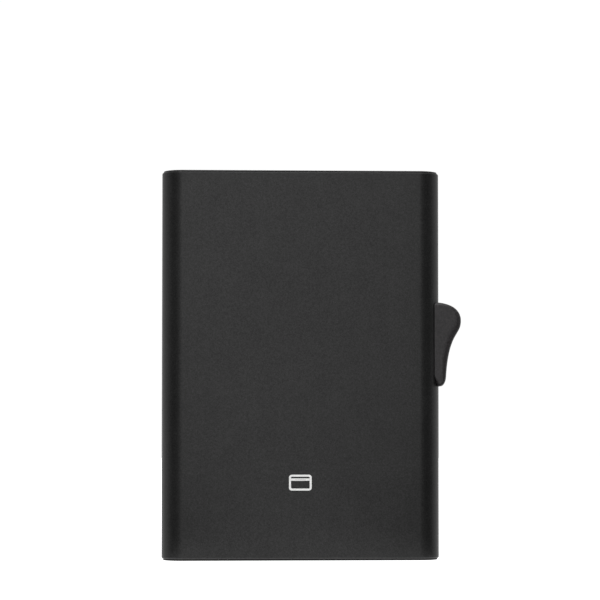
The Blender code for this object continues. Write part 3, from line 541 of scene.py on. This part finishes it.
def turned(profile, centre, steps=40, axis=2):
    """A closed solid of revolution: radius r at height h goes to (r cos a, r sin a, h) about the axis.

    The profile runs from the axis to the axis, as (r, h) pairs.
    """
    angle = np.linspace(0, 2 * math.pi, steps, endpoint=False)
    radius, along = np.array(profile, dtype=float).T
    around = [radius[:, None] * np.cos(angle), radius[:, None] * np.sin(angle)]
    if axis == 1:
        points = np.stack([around[0], along[:, None] + 0 * around[0], around[1]], axis=-1)
    else:
        points = np.stack([around[0], around[1], along[:, None] + 0 * around[0]], axis=-1)
    return points + centre


def bored(piece, cutters):
    """Takes other closed shapes out of a piece, and leaves the finished mesh."""
    for cutter in cutters:
        modifier = piece.modifiers.new("bore", "BOOLEAN")
        modifier.operation = "DIFFERENCE"
        modifier.solver = "EXACT"
        modifier.object = cutter
    graph = bpy.context.evaluated_depsgraph_get()
    graph.update()
    mesh = bpy.data.meshes.new_from_object(piece.evaluated_get(graph))
    piece.modifiers.clear()
    piece.data = mesh
    for cutter in cutters:
        bpy.data.objects.remove(cutter, do_unlink=True)
    piece.data.shade_smooth()
    piece.data.set_sharp_from_angle(angle=math.radians(SHARP))


def cutter_solid(points, faces):
    """A closed shape to take out of another, with its faces turned outwards."""
    cutter = plain_object("cutter", points * MM, faces)
    work = bmesh.new()
    work.from_mesh(cutter.data)
    bmesh.ops.remove_doubles(work, verts=work.verts, dist=1e-7)
    bmesh.ops.recalc_face_normals(work, faces=work.faces)
    work.to_mesh(cutter.data)
    work.free()
    return cutter


nylon_black = [(0.0, (0.009, 0.0088, 0.0092)), (0.5, (0.014, 0.0137, 0.0142))]
nylon_black.append((1.0, (0.021, 0.0205, 0.021)))


def moulded_nylon(name, sheen):
    """Black nylon with a fine sparked grain, faint flow lines, and this much sheen."""
    nylon = Nodes(name)
    spark = nylon.noise(3600, 2.0, 0.6)
    pebble = nylon.noise(1500, 1.0)
    flow = nylon.noise(60, 2.0, where=nylon.stretched((1, 1, 0.4)))
    nylon_shade = nylon.sum(nylon.swing(spark, -0.2, 0.2), nylon.swing(flow, 0.35, 0.65))
    nylon.join(nylon.colour(nylon_shade, nylon_black), nylon.shader.inputs["Base Color"])
    nylon.join(nylon.swing(spark, 0.44, 0.6), nylon.shader.inputs["Roughness"])
    nylon.bump(nylon.sum(spark, pebble), 0.014, 0.6)
    nylon.set(Specular_IOR_Level=sheen)
    return nylon.material


# painted shade: the cap's copy of the nylon reflects less, so that its lip reads darker at the foot
cap_nylon = moulded_nylon("cap_nylon_dimmed", 0.14)
# the cap's side, from the foot of its lip to the top of its plug: (inset, height)
cap_side = [(CAP_INSET + 0.08, 0.0), (CAP_INSET + 0.05, 0.0), (CAP_INSET + 0.015, 0.015), (CAP_INSET, 0.05)]
cap_side += [(CAP_INSET, LIP - 0.06), (CAP_INSET + 0.02, LIP - 0.015), (CAP_INSET + 0.06, LIP)]
cap_side += [(PLUG_INSET + 0.05, LIP), (PLUG_INSET, LIP + 0.05), (PLUG_INSET, FLOOR_TOP - 0.2)]
cap_side += [(PLUG_INSET + 0.06, FLOOR_TOP - 0.06), (PLUG_INSET + 0.2, FLOOR_TOP)]
cap_stack = stacked([(sleeve_section(inset), z) for inset, z in cap_side])
cap = finished_piece(
    "bottom_lid", cap_stack.reshape(-1, 3), closed_ends(cap_stack), cap_nylon,
    "housing", "end_plastic", ["bottom_cap"],
)
# a screw's hole: a cone for the head with an eased edge, then a plain hole for the shank
sink = [(0, -CUT_BELOW), (HEAD_HOLE + 0.3, -CUT_BELOW), (HEAD_HOLE + 0.03, 0.0), (HEAD_HOLE, 0.03)]
sink += [(SHANK_HOLE, HEAD_SINK), (SHANK_HOLE, FLOOR_TOP + 0.8), (0, FLOOR_TOP + 0.8)]
sinks = []
for way in (-1, 1):
    hole = turned(sink, (way * FIXING[0], FIXING[1], 0))
    sinks.append(cutter_solid(hole.reshape(-1, 3), quads(*hole.shape[:2])))
near, far, hollow_half, hollow_top = HOLLOW
# a hollow's side, from below the cap to its own top, with an eased foot and a filleted top: (grow, height)
hollow_side = [(0.38, -CUT_BELOW), (0.08, 0.0), (0.02, 0.03), (0.0, 0.09)]
hollow_side += [(0.0, hollow_top - 0.2), (-0.06, hollow_top - 0.06), (-0.2, hollow_top)]
for left, right in ((-far, -near), (near, far)):
    rings = []
    for grow, z in hollow_side:
        half, radius = hollow_half + grow, HOLLOW_ROUND + grow
        rings.append((rectangle(left - grow, right + grow, -half, half, radius), z))
    hollow = stacked(rings)
    sinks.append(cutter_solid(hollow.reshape(-1, 3), closed_ends(hollow)))
bored(cap, sinks)


# Ears: the two plates that stand up from the cap and hold the arm's pivot pin. They are the same moulding,
# half round above the pin, and the arm's hub turns between them.

EAR_RADIUS = 2.4
EAR_FOOT = 1.6  # height of the ears' feet, inside the cap's plug
EAR_WALL = 4.35
EAR_GAP = 0.2
EAR_EASE = 0.12
HUB_BACK = 1.34  # the arm's hub begins this far behind the arm's front, after its first step
PIN_BORE = 1.03
pivot_low, pivot_high = (np.array(corner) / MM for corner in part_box("arm_pivot_pin"))
pivot_x = (pivot_low[0] + pivot_high[0]) / 2
pivot_z = (pivot_low[2] + pivot_high[2]) / 2
arm_low, arm_high = (np.array(corner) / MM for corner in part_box("ejector_arm"))
turn = np.linspace(0, math.pi, 33)
crest = np.stack([np.cos(turn), np.sin(turn)], axis=1) * EAR_RADIUS
foot_z = EAR_FOOT - pivot_z
ear_outline = np.concatenate([[(EAR_RADIUS, foot_z)], crest, [(-EAR_RADIUS, foot_z)]])
ear_spans = {
    "ear_front": (-EAR_WALL, arm_low[1] + HUB_BACK - EAR_GAP),
    "ear_back": (arm_high[1] + EAR_GAP, EAR_WALL),
}
for ear_name, (ear_front, ear_back) in ear_spans.items():
    slices = [(EAR_EASE, ear_front), (EAR_EASE / 4, ear_front + EAR_EASE / 4), (0.0, ear_front + EAR_EASE)]
    slices += [(0.0, ear_back - EAR_EASE), (EAR_EASE / 4, ear_back - EAR_EASE / 4), (EAR_EASE, ear_back)]
    ear_rings = []
    for shrink, y in slices:
        ring = ear_outline * (1 - shrink / EAR_RADIUS) + (pivot_x, pivot_z)
        ear_rings.append(np.insert(ring, 1, y, axis=1))
    ear_stack = np.stack(ear_rings)
    ear = finished_piece(
        ear_name, ear_stack.reshape(-1, 3), closed_ends(ear_stack), cap_nylon, "housing", "end_plastic"
    )
    bore = turned([(0, -9), (PIN_BORE, -9), (PIN_BORE, 9), (0, 9)], (pivot_x, 0, pivot_z), axis=1)
    bored(ear, [cutter_solid(bore.reshape(-1, 3), quads(*bore.shape[:2]))])


# Top collar: the same nylon, a lip on the sleeve's upper end and a spigot inside it, round the mouth that
# the cards come out of. Its edges are eased for the cards, and two pegs hold it to the inserts below.

MOUTH = (-28.9, 25.5, -4.0, 4.0, 0.8)  # left, right, front, back and corner radius
COLLAR_DEPTH = 4.9
MOUTH_EASE = 0.3
PEG_RADIUS = 0.6
PEG_LENGTH = 4.0
wallet_top = cad_box[1][2] / MM
collar_bottom = wallet_top - COLLAR_DEPTH
lip_under = wallet_top - LIP


def mouth(grow):
    """The mouth's outline, grown all round."""
    left, right, front, back, radius = MOUTH
    return rectangle(left - grow, right + grow, front - grow, back + grow, radius + grow, ROUND_STEPS)


# once round the collar: up the lip's outside, over the top, down through the mouth and back by the spigot
lip_side = [(CAP_INSET + 0.08, lip_under), (CAP_INSET + 0.02, lip_under + 0.02)]
lip_side += [(CAP_INSET, lip_under + 0.08), (CAP_INSET, wallet_top - 0.16)]
lip_side.append((CAP_INSET + 0.02, wallet_top - 0.08))
lip_side += [(CAP_INSET + 0.07, wallet_top - 0.02), (CAP_INSET + 0.15, wallet_top)]
lip_side.append((CAP_INSET + 0.19, wallet_top))
# the mouth's eased edge: (part of the ease that it is grown by, part that it lies below the top)
mouth_ease = [(1.0, 0.0), (0.6, 0.09), (0.29, 0.29), (0.08, 0.62), (0.0, 1.0)]
mouth_side = [(MOUTH_EASE + 0.03, wallet_top)]
mouth_side += [(grow * MOUTH_EASE, wallet_top - down * MOUTH_EASE) for grow, down in mouth_ease]
mouth_side += [(0.0, wallet_top - MOUTH_EASE - 0.1), (0.0, collar_bottom + 0.5)]
mouth_side += [(0.0, collar_bottom + 0.3), (0.25, collar_bottom)]
spigot_side = [(PLUG_INSET + 0.12, collar_bottom), (PLUG_INSET, collar_bottom + 0.12)]
spigot_side += [(PLUG_INSET, lip_under - 0.05), (PLUG_INSET - 0.03, lip_under)]
collar_rings = [(sleeve_section(inset), z) for inset, z in lip_side]
collar_rings += [(mouth(grow), z) for grow, z in mouth_side]
collar_rings += [(sleeve_section(inset), z) for inset, z in spigot_side]
collar_stack = stacked(collar_rings)
collar_parts = [(collar_stack, quads(*collar_stack.shape[:2], rows_closed=True))]
peg = [(0, -PEG_LENGTH), (PEG_RADIUS - 0.2, -PEG_LENGTH), (PEG_RADIUS, 0.2 - PEG_LENGTH)]
peg += [(PEG_RADIUS, 1.0), (0, 1.0)]
for way in (-1, 1):
    peg_stack = turned(peg, (way * FIXING[0], FIXING[1], collar_bottom), 24)
    collar_parts.append((peg_stack, quads(*peg_stack.shape[:2])))
# painted highlight: the collar's copy of the same nylon reflects more, so that the top reads lighter
finished_piece(
    "mouth_collar", *joined(collar_parts), moulded_nylon("collar_nylon_brightened", 0.4),
    "housing", "end_plastic", ["top_collar"],
)


# Left guide and right rail: the two nylon inserts that stand in the sleeve's sides. They are plain
# mouldings with the same finish as the ends, a little smoother where the cards and the slider rub.


def dress(node, material):
    """Gives one of the frame's own parts a finished material."""
    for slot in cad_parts[node].material_slots:
        slot.material = material


insert = Nodes("black_insert_nylon")
rub = insert.noise(1.0, 2.0, where=insert.stretched((1600, 1600, 60)))
fleck = insert.noise(2800, 2.0, 0.6)
insert_shade = insert.sum(insert.swing(fleck, -0.15, 0.15), insert.swing(rub, 0.35, 0.65))
insert.join(insert.colour(insert_shade, nylon_black), insert.shader.inputs["Base Color"])
insert.join(insert.swing(rub, 0.36, 0.5), insert.shader.inputs["Roughness"])
insert.bump(insert.sum(rub, insert.product(fleck, 0.5)), 0.008, 0.5)
dress("left_guide", insert.material)
dress("right_rail", insert.material)


# Slider and ejector arm: grey acetal, milled from sheet, with faint cutter marks along their length and a
# soft sheen. The slider runs in the rail, and the arm's five steps each lift one card.

acetal = Nodes("grey_milled_acetal")
milled = acetal.noise(1.0, 3.0, 0.6, where=acetal.stretched((350, 2600, 2600)))
haze = acetal.noise(180, 2.0)
speckle = acetal.noise(5200, 1.0)
acetal_shade = acetal.sum(acetal.swing(milled, -0.12, 0.12), acetal.swing(haze, 0.38, 0.62))
acetal_grey = [(0.0, (0.135, 0.135, 0.14)), (0.5, (0.17, 0.17, 0.176)), (1.0, (0.205, 0.205, 0.212))]
acetal.join(acetal.colour(acetal_shade, acetal_grey), acetal.shader.inputs["Base Color"])
acetal.join(acetal.swing(milled, 0.34, 0.46), acetal.shader.inputs["Roughness"])
acetal.bump(acetal.sum(milled, acetal.product(speckle, 0.3)), 0.006, 0.5)
dress("slider", acetal.material)
dress("ejector_arm", acetal.material)


# Pins and screws: bright steel, turned, with fine rings round each one's own axis. The pivot pin is pressed
# in the cap's ears, the drive pin in the slider, and the screws come up through the cap.


def turned_steel(name, centre, along):
    """Steel with turning marks: rings of equal distance from an axis through centre, along Y or Z."""
    steel = Nodes(name)
    flat = (1, 0, 1) if along == "Y" else (1, 1, 0)
    offset = [-c * MM * f for c, f in zip(centre, flat)]
    rings = steel.add("ShaderNodeTexWave", wave_type="RINGS", rings_direction="SPHERICAL")
    rings.inputs["Scale"].default_value = 1900
    rings.inputs["Distortion"].default_value = 0.6
    rings.inputs["Detail"].default_value = 2.0
    steel.join(steel.stretched(flat, offset), rings.inputs["Vector"])
    smear = steel.noise(1400, 2.0)
    tone = steel.sum(steel.spread(rings.outputs["Fac"], -0.1, 0.1), steel.swing(smear, 0.35, 0.65))
    bright = [(0.0, (0.44, 0.44, 0.45)), (1.0, (0.62, 0.62, 0.63))]
    steel.join(steel.colour(tone, bright), steel.shader.inputs["Base Color"])
    steel.join(steel.swing(smear, 0.24, 0.36), steel.shader.inputs["Roughness"])
    steel.bump(rings.outputs["Fac"], 0.003, 0.5)
    steel.set(Metallic=1.0)
    return steel.material


drive_low, drive_high = (np.array(corner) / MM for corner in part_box("drive_pin"))
drive_centre = (drive_low + drive_high) / 2
dress("arm_pivot_pin", turned_steel("pivot_pin_steel", (pivot_x, 0, pivot_z), "Y"))
dress("drive_pin", turned_steel("drive_pin_steel", drive_centre, "Y"))
dress("cap_screw_left", turned_steel("left_screw_steel", (-FIXING[0], FIXING[1], 0), "Z"))
dress("cap_screw_right", turned_steel("right_screw_steel", (FIXING[0], FIXING[1], 0), "Z"))


# Springs: strips of blued spring steel, rolled along their length. Two long leaves on the back wall press
# the cards forwards, and a small bow in the slider rubs on the rail.

LEAF_THICKNESS = 0.25
LEAF_STEPS = 61
LEAF_TAPER = (1.6, 0.25)  # each end narrows over this length, by this share of the width
spring = Nodes("blued_spring_steel")
rolled = spring.noise(1.0, 3.0, 0.6, where=spring.stretched((5200, 5200, 45)))
temper = spring.noise(70, 2.0, where=spring.stretched((1, 1, 0.6)))
spring_tone = spring.sum(spring.swing(rolled, -0.16, 0.16), spring.swing(temper, 0.2, 0.8))
blued = [(0.0, (0.20, 0.21, 0.25)), (0.45, (0.34, 0.33, 0.33)), (1.0, (0.42, 0.38, 0.32))]
spring.join(spring.colour(spring_tone, blued), spring.shader.inputs["Base Color"])
spring.join(spring.swing(rolled, 0.22, 0.34), spring.shader.inputs["Roughness"])
spring.bump(rolled, 0.003, 0.5)
spring.set(Metallic=1.0)
dress("bow_spring", spring.material)


def leaf(node):
    """A bowed strip with rolled edges: it leaves the wall by bow * (1 - cos(2 pi t)) / 2 along its length.

    Across, the strip's section is a flat oval: its edges follow a half circle of the strip's thickness.
    """
    low, high = (np.array(corner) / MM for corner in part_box(node))
    length = high[2] - low[2]
    bow = high[1] - low[1] - LEAF_THICKNESS
    along = np.linspace(0, 1, LEAF_STEPS)
    wall_y = high[1] - bow * (1 - np.cos(2 * math.pi * along)) / 2
    turn = np.linspace(-math.pi / 2, math.pi / 2, 9)
    radius = LEAF_THICKNESS / 2
    half = (high[0] - low[0]) / 2 - radius
    across = np.concatenate([half + radius * np.cos(turn), -half - radius * np.cos(turn)])
    deep = np.concatenate([radius * np.sin(turn), -radius * np.sin(turn)])
    from_end = np.minimum(along, 1 - along) * length
    narrow = 1 - LEAF_TAPER[1] * np.clip(1 - from_end / LEAF_TAPER[0], 0, 1) ** 2
    x = (low[0] + high[0]) / 2 + across[None, :] * narrow[:, None]
    y = wall_y[:, None] - radius + deep[None, :]
    z = (low[2] + along * length)[:, None] + 0 * x
    strip = np.stack([x, y, z], axis=-1)
    return strip.reshape(-1, 3), closed_ends(strip)


for leaf_node in ("leaf_spring_left", "leaf_spring_right"):
    finished_piece(leaf_node.replace("spring", "strip"), *leaf(leaf_node), spring.material,
                   "housing", "spring_steel", [leaf_node])


# Felts: two strips of black pressed wool stuck on the front wall, which the first card slides on. Their
# edges are cut soft and their faces are matted fibres.

FELT_GRID = (181, 29)  # points along and across
FELT_END = 0.5  # the ends are rounded over this length
MAT_WAVES = 24
MAT_DEPTH = 0.14  # share of the thickness


def felt_strip(node, seed):
    """A strip with round shoulders and a matted face.

    The section runs from the wall over the face and back: the height over the wall is the thickness times
    (1 - |u|^6)^(1/3) across, and a sum of sines of x and z lowers the face by up to MAT_DEPTH of that.
    """
    low, high = (np.array(corner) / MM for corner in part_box(node))
    rng = np.random.default_rng(seed)
    rows, columns = FELT_GRID
    u = np.sin(np.linspace(-math.pi / 2, math.pi / 2, columns))[None, :]
    v = np.linspace(0, 1, rows)[:, None]
    x = (low[0] + high[0]) / 2 + u * (high[0] - low[0]) / 2
    z = low[2] + v * (high[2] - low[2]) + 0 * u
    ends = np.clip(np.minimum(v, 1 - v) * (high[2] - low[2]) / FELT_END, 0, 1)
    height = (1 - np.abs(u) ** 6) ** (1 / 3) * np.sqrt(1 - (1 - ends) ** 2)
    mat = np.zeros((rows, columns))
    for _ in range(MAT_WAVES):
        turn, pitch, phase = rng.uniform(0, math.pi), rng.uniform(2.5, 9.0), rng.uniform(0, 2 * math.pi)
        mat += np.sin(pitch * (x * math.cos(turn) + z * math.sin(turn)) + phase)
    mat = (mat - mat.min()) / (mat.max() - mat.min())
    face = low[1] + (high[1] - low[1]) * height * (1 - MAT_DEPTH * mat)
    top = np.stack([x + 0 * v, face, z], axis=-1)
    back = np.stack([x + 0 * v, low[1] + 0 * face, z], axis=-1)
    count = rows * columns
    points = np.concatenate([top.reshape(-1, 3), back.reshape(-1, 3)])
    grid = quads(rows, columns, columns_closed=False)
    edge = np.concatenate(
        [np.arange(columns), np.arange(1, rows) * columns + columns - 1,
         (rows - 1) * columns + np.arange(columns - 1)[::-1], np.arange(1, rows - 1)[::-1] * columns]
    )
    skirt = np.stack([edge, np.roll(edge, -1), np.roll(edge, -1) + count, edge + count], axis=1)
    return points, np.concatenate([grid, grid[:, ::-1] + count, skirt])


wool = Nodes("black_pressed_felt")
fibre = wool.noise(1.0, 4.0, 0.7, where=wool.stretched((2600, 5200, 1500), rotation=(0, 0.5, 0)))
cross = wool.noise(1.0, 4.0, 0.7, where=wool.stretched((1400, 5200, 2800), rotation=(0, -0.7, 0)))
lint = wool.noise(420, 2.0)
wool_tone = wool.sum(wool.product(fibre, cross), wool.swing(lint, -0.06, 0.06))
wool_black = [(0.1, (0.010, 0.010, 0.011)), (0.3, (0.024, 0.024, 0.026)), (0.5, (0.055, 0.054, 0.056))]
wool.join(wool.colour(wool_tone, wool_black), wool.shader.inputs["Base Color"])
wool.join(wool.spread(wool_tone, 0.85, 1.0, 0.1, 0.5), wool.shader.inputs["Roughness"])
wool.bump(wool_tone, 0.08, 0.9)
wool.set(Sheen_Weight=0.35, Sheen_Roughness=0.6, Specular_IOR_Level=0.2)
for seed, felt_node in enumerate(("felt_left", "felt_right")):
    finished_piece(felt_node + "_strip", *felt_strip(felt_node, 7 + seed), wool.material,
                   "housing", "felt", [felt_node], sharp=80.0)


# Thumb lever: a moulded saddle of warm black plastic that rides on the sleeve's round side. Its crown takes
# the thumb, its edges are well rounded, and a flat stem goes through the slot into the slider.

LEVER_HEIGHT = 20.85
LEVER_EDGE = 0.9
LEVER_GAP = 0.15
TAIL = (1.61, 2.35)  # where the heel's round ends, out from the sleeve and up from the lever's foot
CROWN = (5.36, 16.39)  # the thumb's rest at its furthest out, likewise
STEM = (28.8, 35.4, -0.95, 0.95, 49.0, 59.0)  # left, right, front, back, bottom, top
STEM_ROUND = 0.3
STEM_EASE = 0.25
CURVE_POINTS = 150  # points of a slice's side curve, and of the saddle line that closes it
SADDLE_POINTS = 30
lever_low, lever_high = (np.array(corner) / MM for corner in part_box("thumb_lever"))
lever_half = (lever_high[1] - lever_low[1]) / 2
lever_bottom = lever_low[2]
lever_top = lever_bottom + LEVER_HEIGHT
side = half_width


def bezier(start, first, second, end, steps=40):
    """A cubic curve: (1-t)^3 start + 3 (1-t)^2 t first + 3 (1-t) t^2 second + t^3 end."""
    t = np.linspace(0, 1, steps)[:, None]
    start, first, second, end = (np.array(point, dtype=float) for point in (start, first, second, end))
    return (1 - t) ** 3 * start + 3 * (1 - t) ** 2 * t * first + 3 * (1 - t) * t**2 * second + t**3 * end


tail = np.array([side + TAIL[0], lever_bottom + TAIL[1]])
crown = np.array([side + CROWN[0], lever_bottom + CROWN[1]])
foot = (side + 0.15, lever_bottom)
heel_handles = ((side - 0.9, lever_bottom + 1.6), (side - 0.8, lever_bottom))
heel = bezier((side - 2.5, lever_bottom + 3.2), *heel_handles, foot)
under = bezier(foot, (side + 1.0, lever_bottom), tail - (0.1, 1.25), tail)
flank = bezier(tail, tail + (0.69, 11.33), crown - (0, 3.88), crown, 90)
shoulder = bezier(crown, crown + (0, 2.07), (side + 3.89, lever_top - 0.46), (side - 0.1, lever_top), 70)
roof = np.array([(side - 2.5, lever_top)])
lever_curve = np.concatenate([heel, under[1:], flank[1:], shoulder[1:], roof])


def along_curve(curve):
    """The distance along a curve of each of its points."""
    return np.concatenate([[0], np.cumsum(np.linalg.norm(np.diff(curve, axis=0), axis=1))])


def drawn_in(curve, inset):
    """The curve moved to its left by inset, its heading found from the points on either side."""
    heading = np.gradient(curve, axis=0)
    heading /= np.linalg.norm(heading, axis=1)[:, None]
    return curve + np.reshape(inset, (-1, 1)) * np.stack([-heading[:, 1], heading[:, 0]], axis=1)


# from the heel to the roof, the round of the edge is widest along the thumb's flank
lever_along = along_curve(lever_curve)
lever_along = lever_along / lever_along[-1]
edge_places = [0.0, 0.14, 0.2, 0.3, 0.56, 0.72, 0.8, 1.0]
edge_spread = np.interp(lever_along, edge_places, [0.75, 0.75, 0.85, 1.6, 2.1, 1.5, 1.0, 0.9])
edge_spread = np.convolve(np.pad(edge_spread, 8, mode="edge"), np.ones(17) / 17, mode="valid")


def lever_slice(y, inset):
    """One slice of the lever: its side curve, drawn in, closed by the upright line of the saddle.

    The saddle is LEVER_GAP clear of the sleeve's round, so with r for the round and the gap together the
    line is at x = centre x + sqrt(r^2 - (|y| - centre y)^2).
    """
    rise = max(abs(y) - (half_depth - SLEEVE_ROUND), 0.0)
    saddle = half_width - SLEEVE_ROUND + math.sqrt((SLEEVE_ROUND + LEVER_GAP) ** 2 - rise**2)
    curve = drawn_in(lever_curve, inset * edge_spread)
    length = along_curve(curve)
    outside = np.flatnonzero(curve[:, 0] > saddle)
    first, last = outside[0], outside[-1]
    start = np.interp(saddle, curve[first - 1 : first + 1, 0], length[first - 1 : first + 1])
    end = np.interp(-saddle, -curve[last : last + 2, 0], length[last : last + 2])
    t = np.linspace(start, end, CURVE_POINTS)
    t[1], t[-2] = start + EDGE_ROW, end - EDGE_ROW
    shape = np.stack([np.interp(t, length, curve[:, k]) for k in (0, 1)], axis=1)
    back_z = np.linspace(shape[-1, 1], shape[0, 1], SADDLE_POINTS)[1:-1]
    back_z[0], back_z[-1] = shape[-1, 1] - EDGE_ROW, shape[0, 1] + EDGE_ROW
    ring = np.concatenate([shape, np.column_stack([0 * back_z + saddle, back_z])])
    return np.column_stack([ring[:, 0], np.full(len(ring), y), ring[:, 1]])


edge_turn = np.linspace(0, math.pi / 2, 10)
edge_y = lever_half - LEVER_EDGE * (1 - np.cos(edge_turn))
edge_inset = LEVER_EDGE * (1 - np.sin(edge_turn))
middle_y = np.linspace(lever_half - LEVER_EDGE, -(lever_half - LEVER_EDGE), 15)[1:-1]
all_y = np.concatenate([[lever_half], edge_y, middle_y, -edge_y[::-1], [-lever_half]])
cheek_inset = [LEVER_EDGE + EDGE_ROW]
all_inset = np.concatenate([cheek_inset, edge_inset, 0 * middle_y, edge_inset[::-1], cheek_inset])
lever_stack = np.stack([lever_slice(y, inset) for y, inset in zip(all_y, all_inset)])
left, right, front, back, stem_bottom, stem_top = STEM
stem_side = [(STEM_EASE, stem_bottom), (0.07, stem_bottom + 0.07), (0.0, stem_bottom + STEM_EASE)]
stem_side += [(0.0, stem_top - STEM_EASE), (0.07, stem_top - 0.07), (STEM_EASE, stem_top)]
stem_stack = stacked(
    [(rectangle(left + s, right, front + s, back - s, STEM_ROUND, 6), z) for s, z in stem_side]
)
lever_parts = [(lever_stack, closed_ends(lever_stack)), (stem_stack, closed_ends(stem_stack))]

thumb = Nodes("warm_black_plastic")
etch = thumb.noise(4200, 3.0, 0.6)
bloom = thumb.noise(2000, 3.0, 0.65)
worn = thumb.noise(45, 2.0)
thumb_shade = thumb.sum(thumb.swing(etch, -0.22, 0.22), thumb.swing(bloom, 0.1, 0.9))
# painted highlight: a band along the crown's top edge is lightened, standing in for the light its round
# catches from above
crown_highlight = thumb.spread(thumb.axis("Z"), 0.0, 0.5, (lever_top - 1.0) * MM, (lever_top - 0.3) * MM)
thumb_shade = thumb.sum(thumb_shade, crown_highlight)
warm = [(0.0, (0.006, 0.0054, 0.0058)), (0.5, (0.0128, 0.0114, 0.0122)), (1.0, (0.0245, 0.0222, 0.0236))]
thumb.join(thumb.colour(thumb_shade, warm), thumb.shader.inputs["Base Color"])
thumb_gloss = thumb.sum(thumb.swing(worn, -0.03, 0.03), thumb.swing(etch, 0.4, 0.54))
thumb.join(thumb_gloss, thumb.shader.inputs["Roughness"])
thumb.bump(etch, 0.014, 0.6)
thumb.set(Specular_IOR_Level=0.32)
finished_piece(
    "lever_saddle", *joined(lever_parts), thumb.material,
    "lever", "lever_plastic", ["thumb_lever"], sharp=40.0,
)
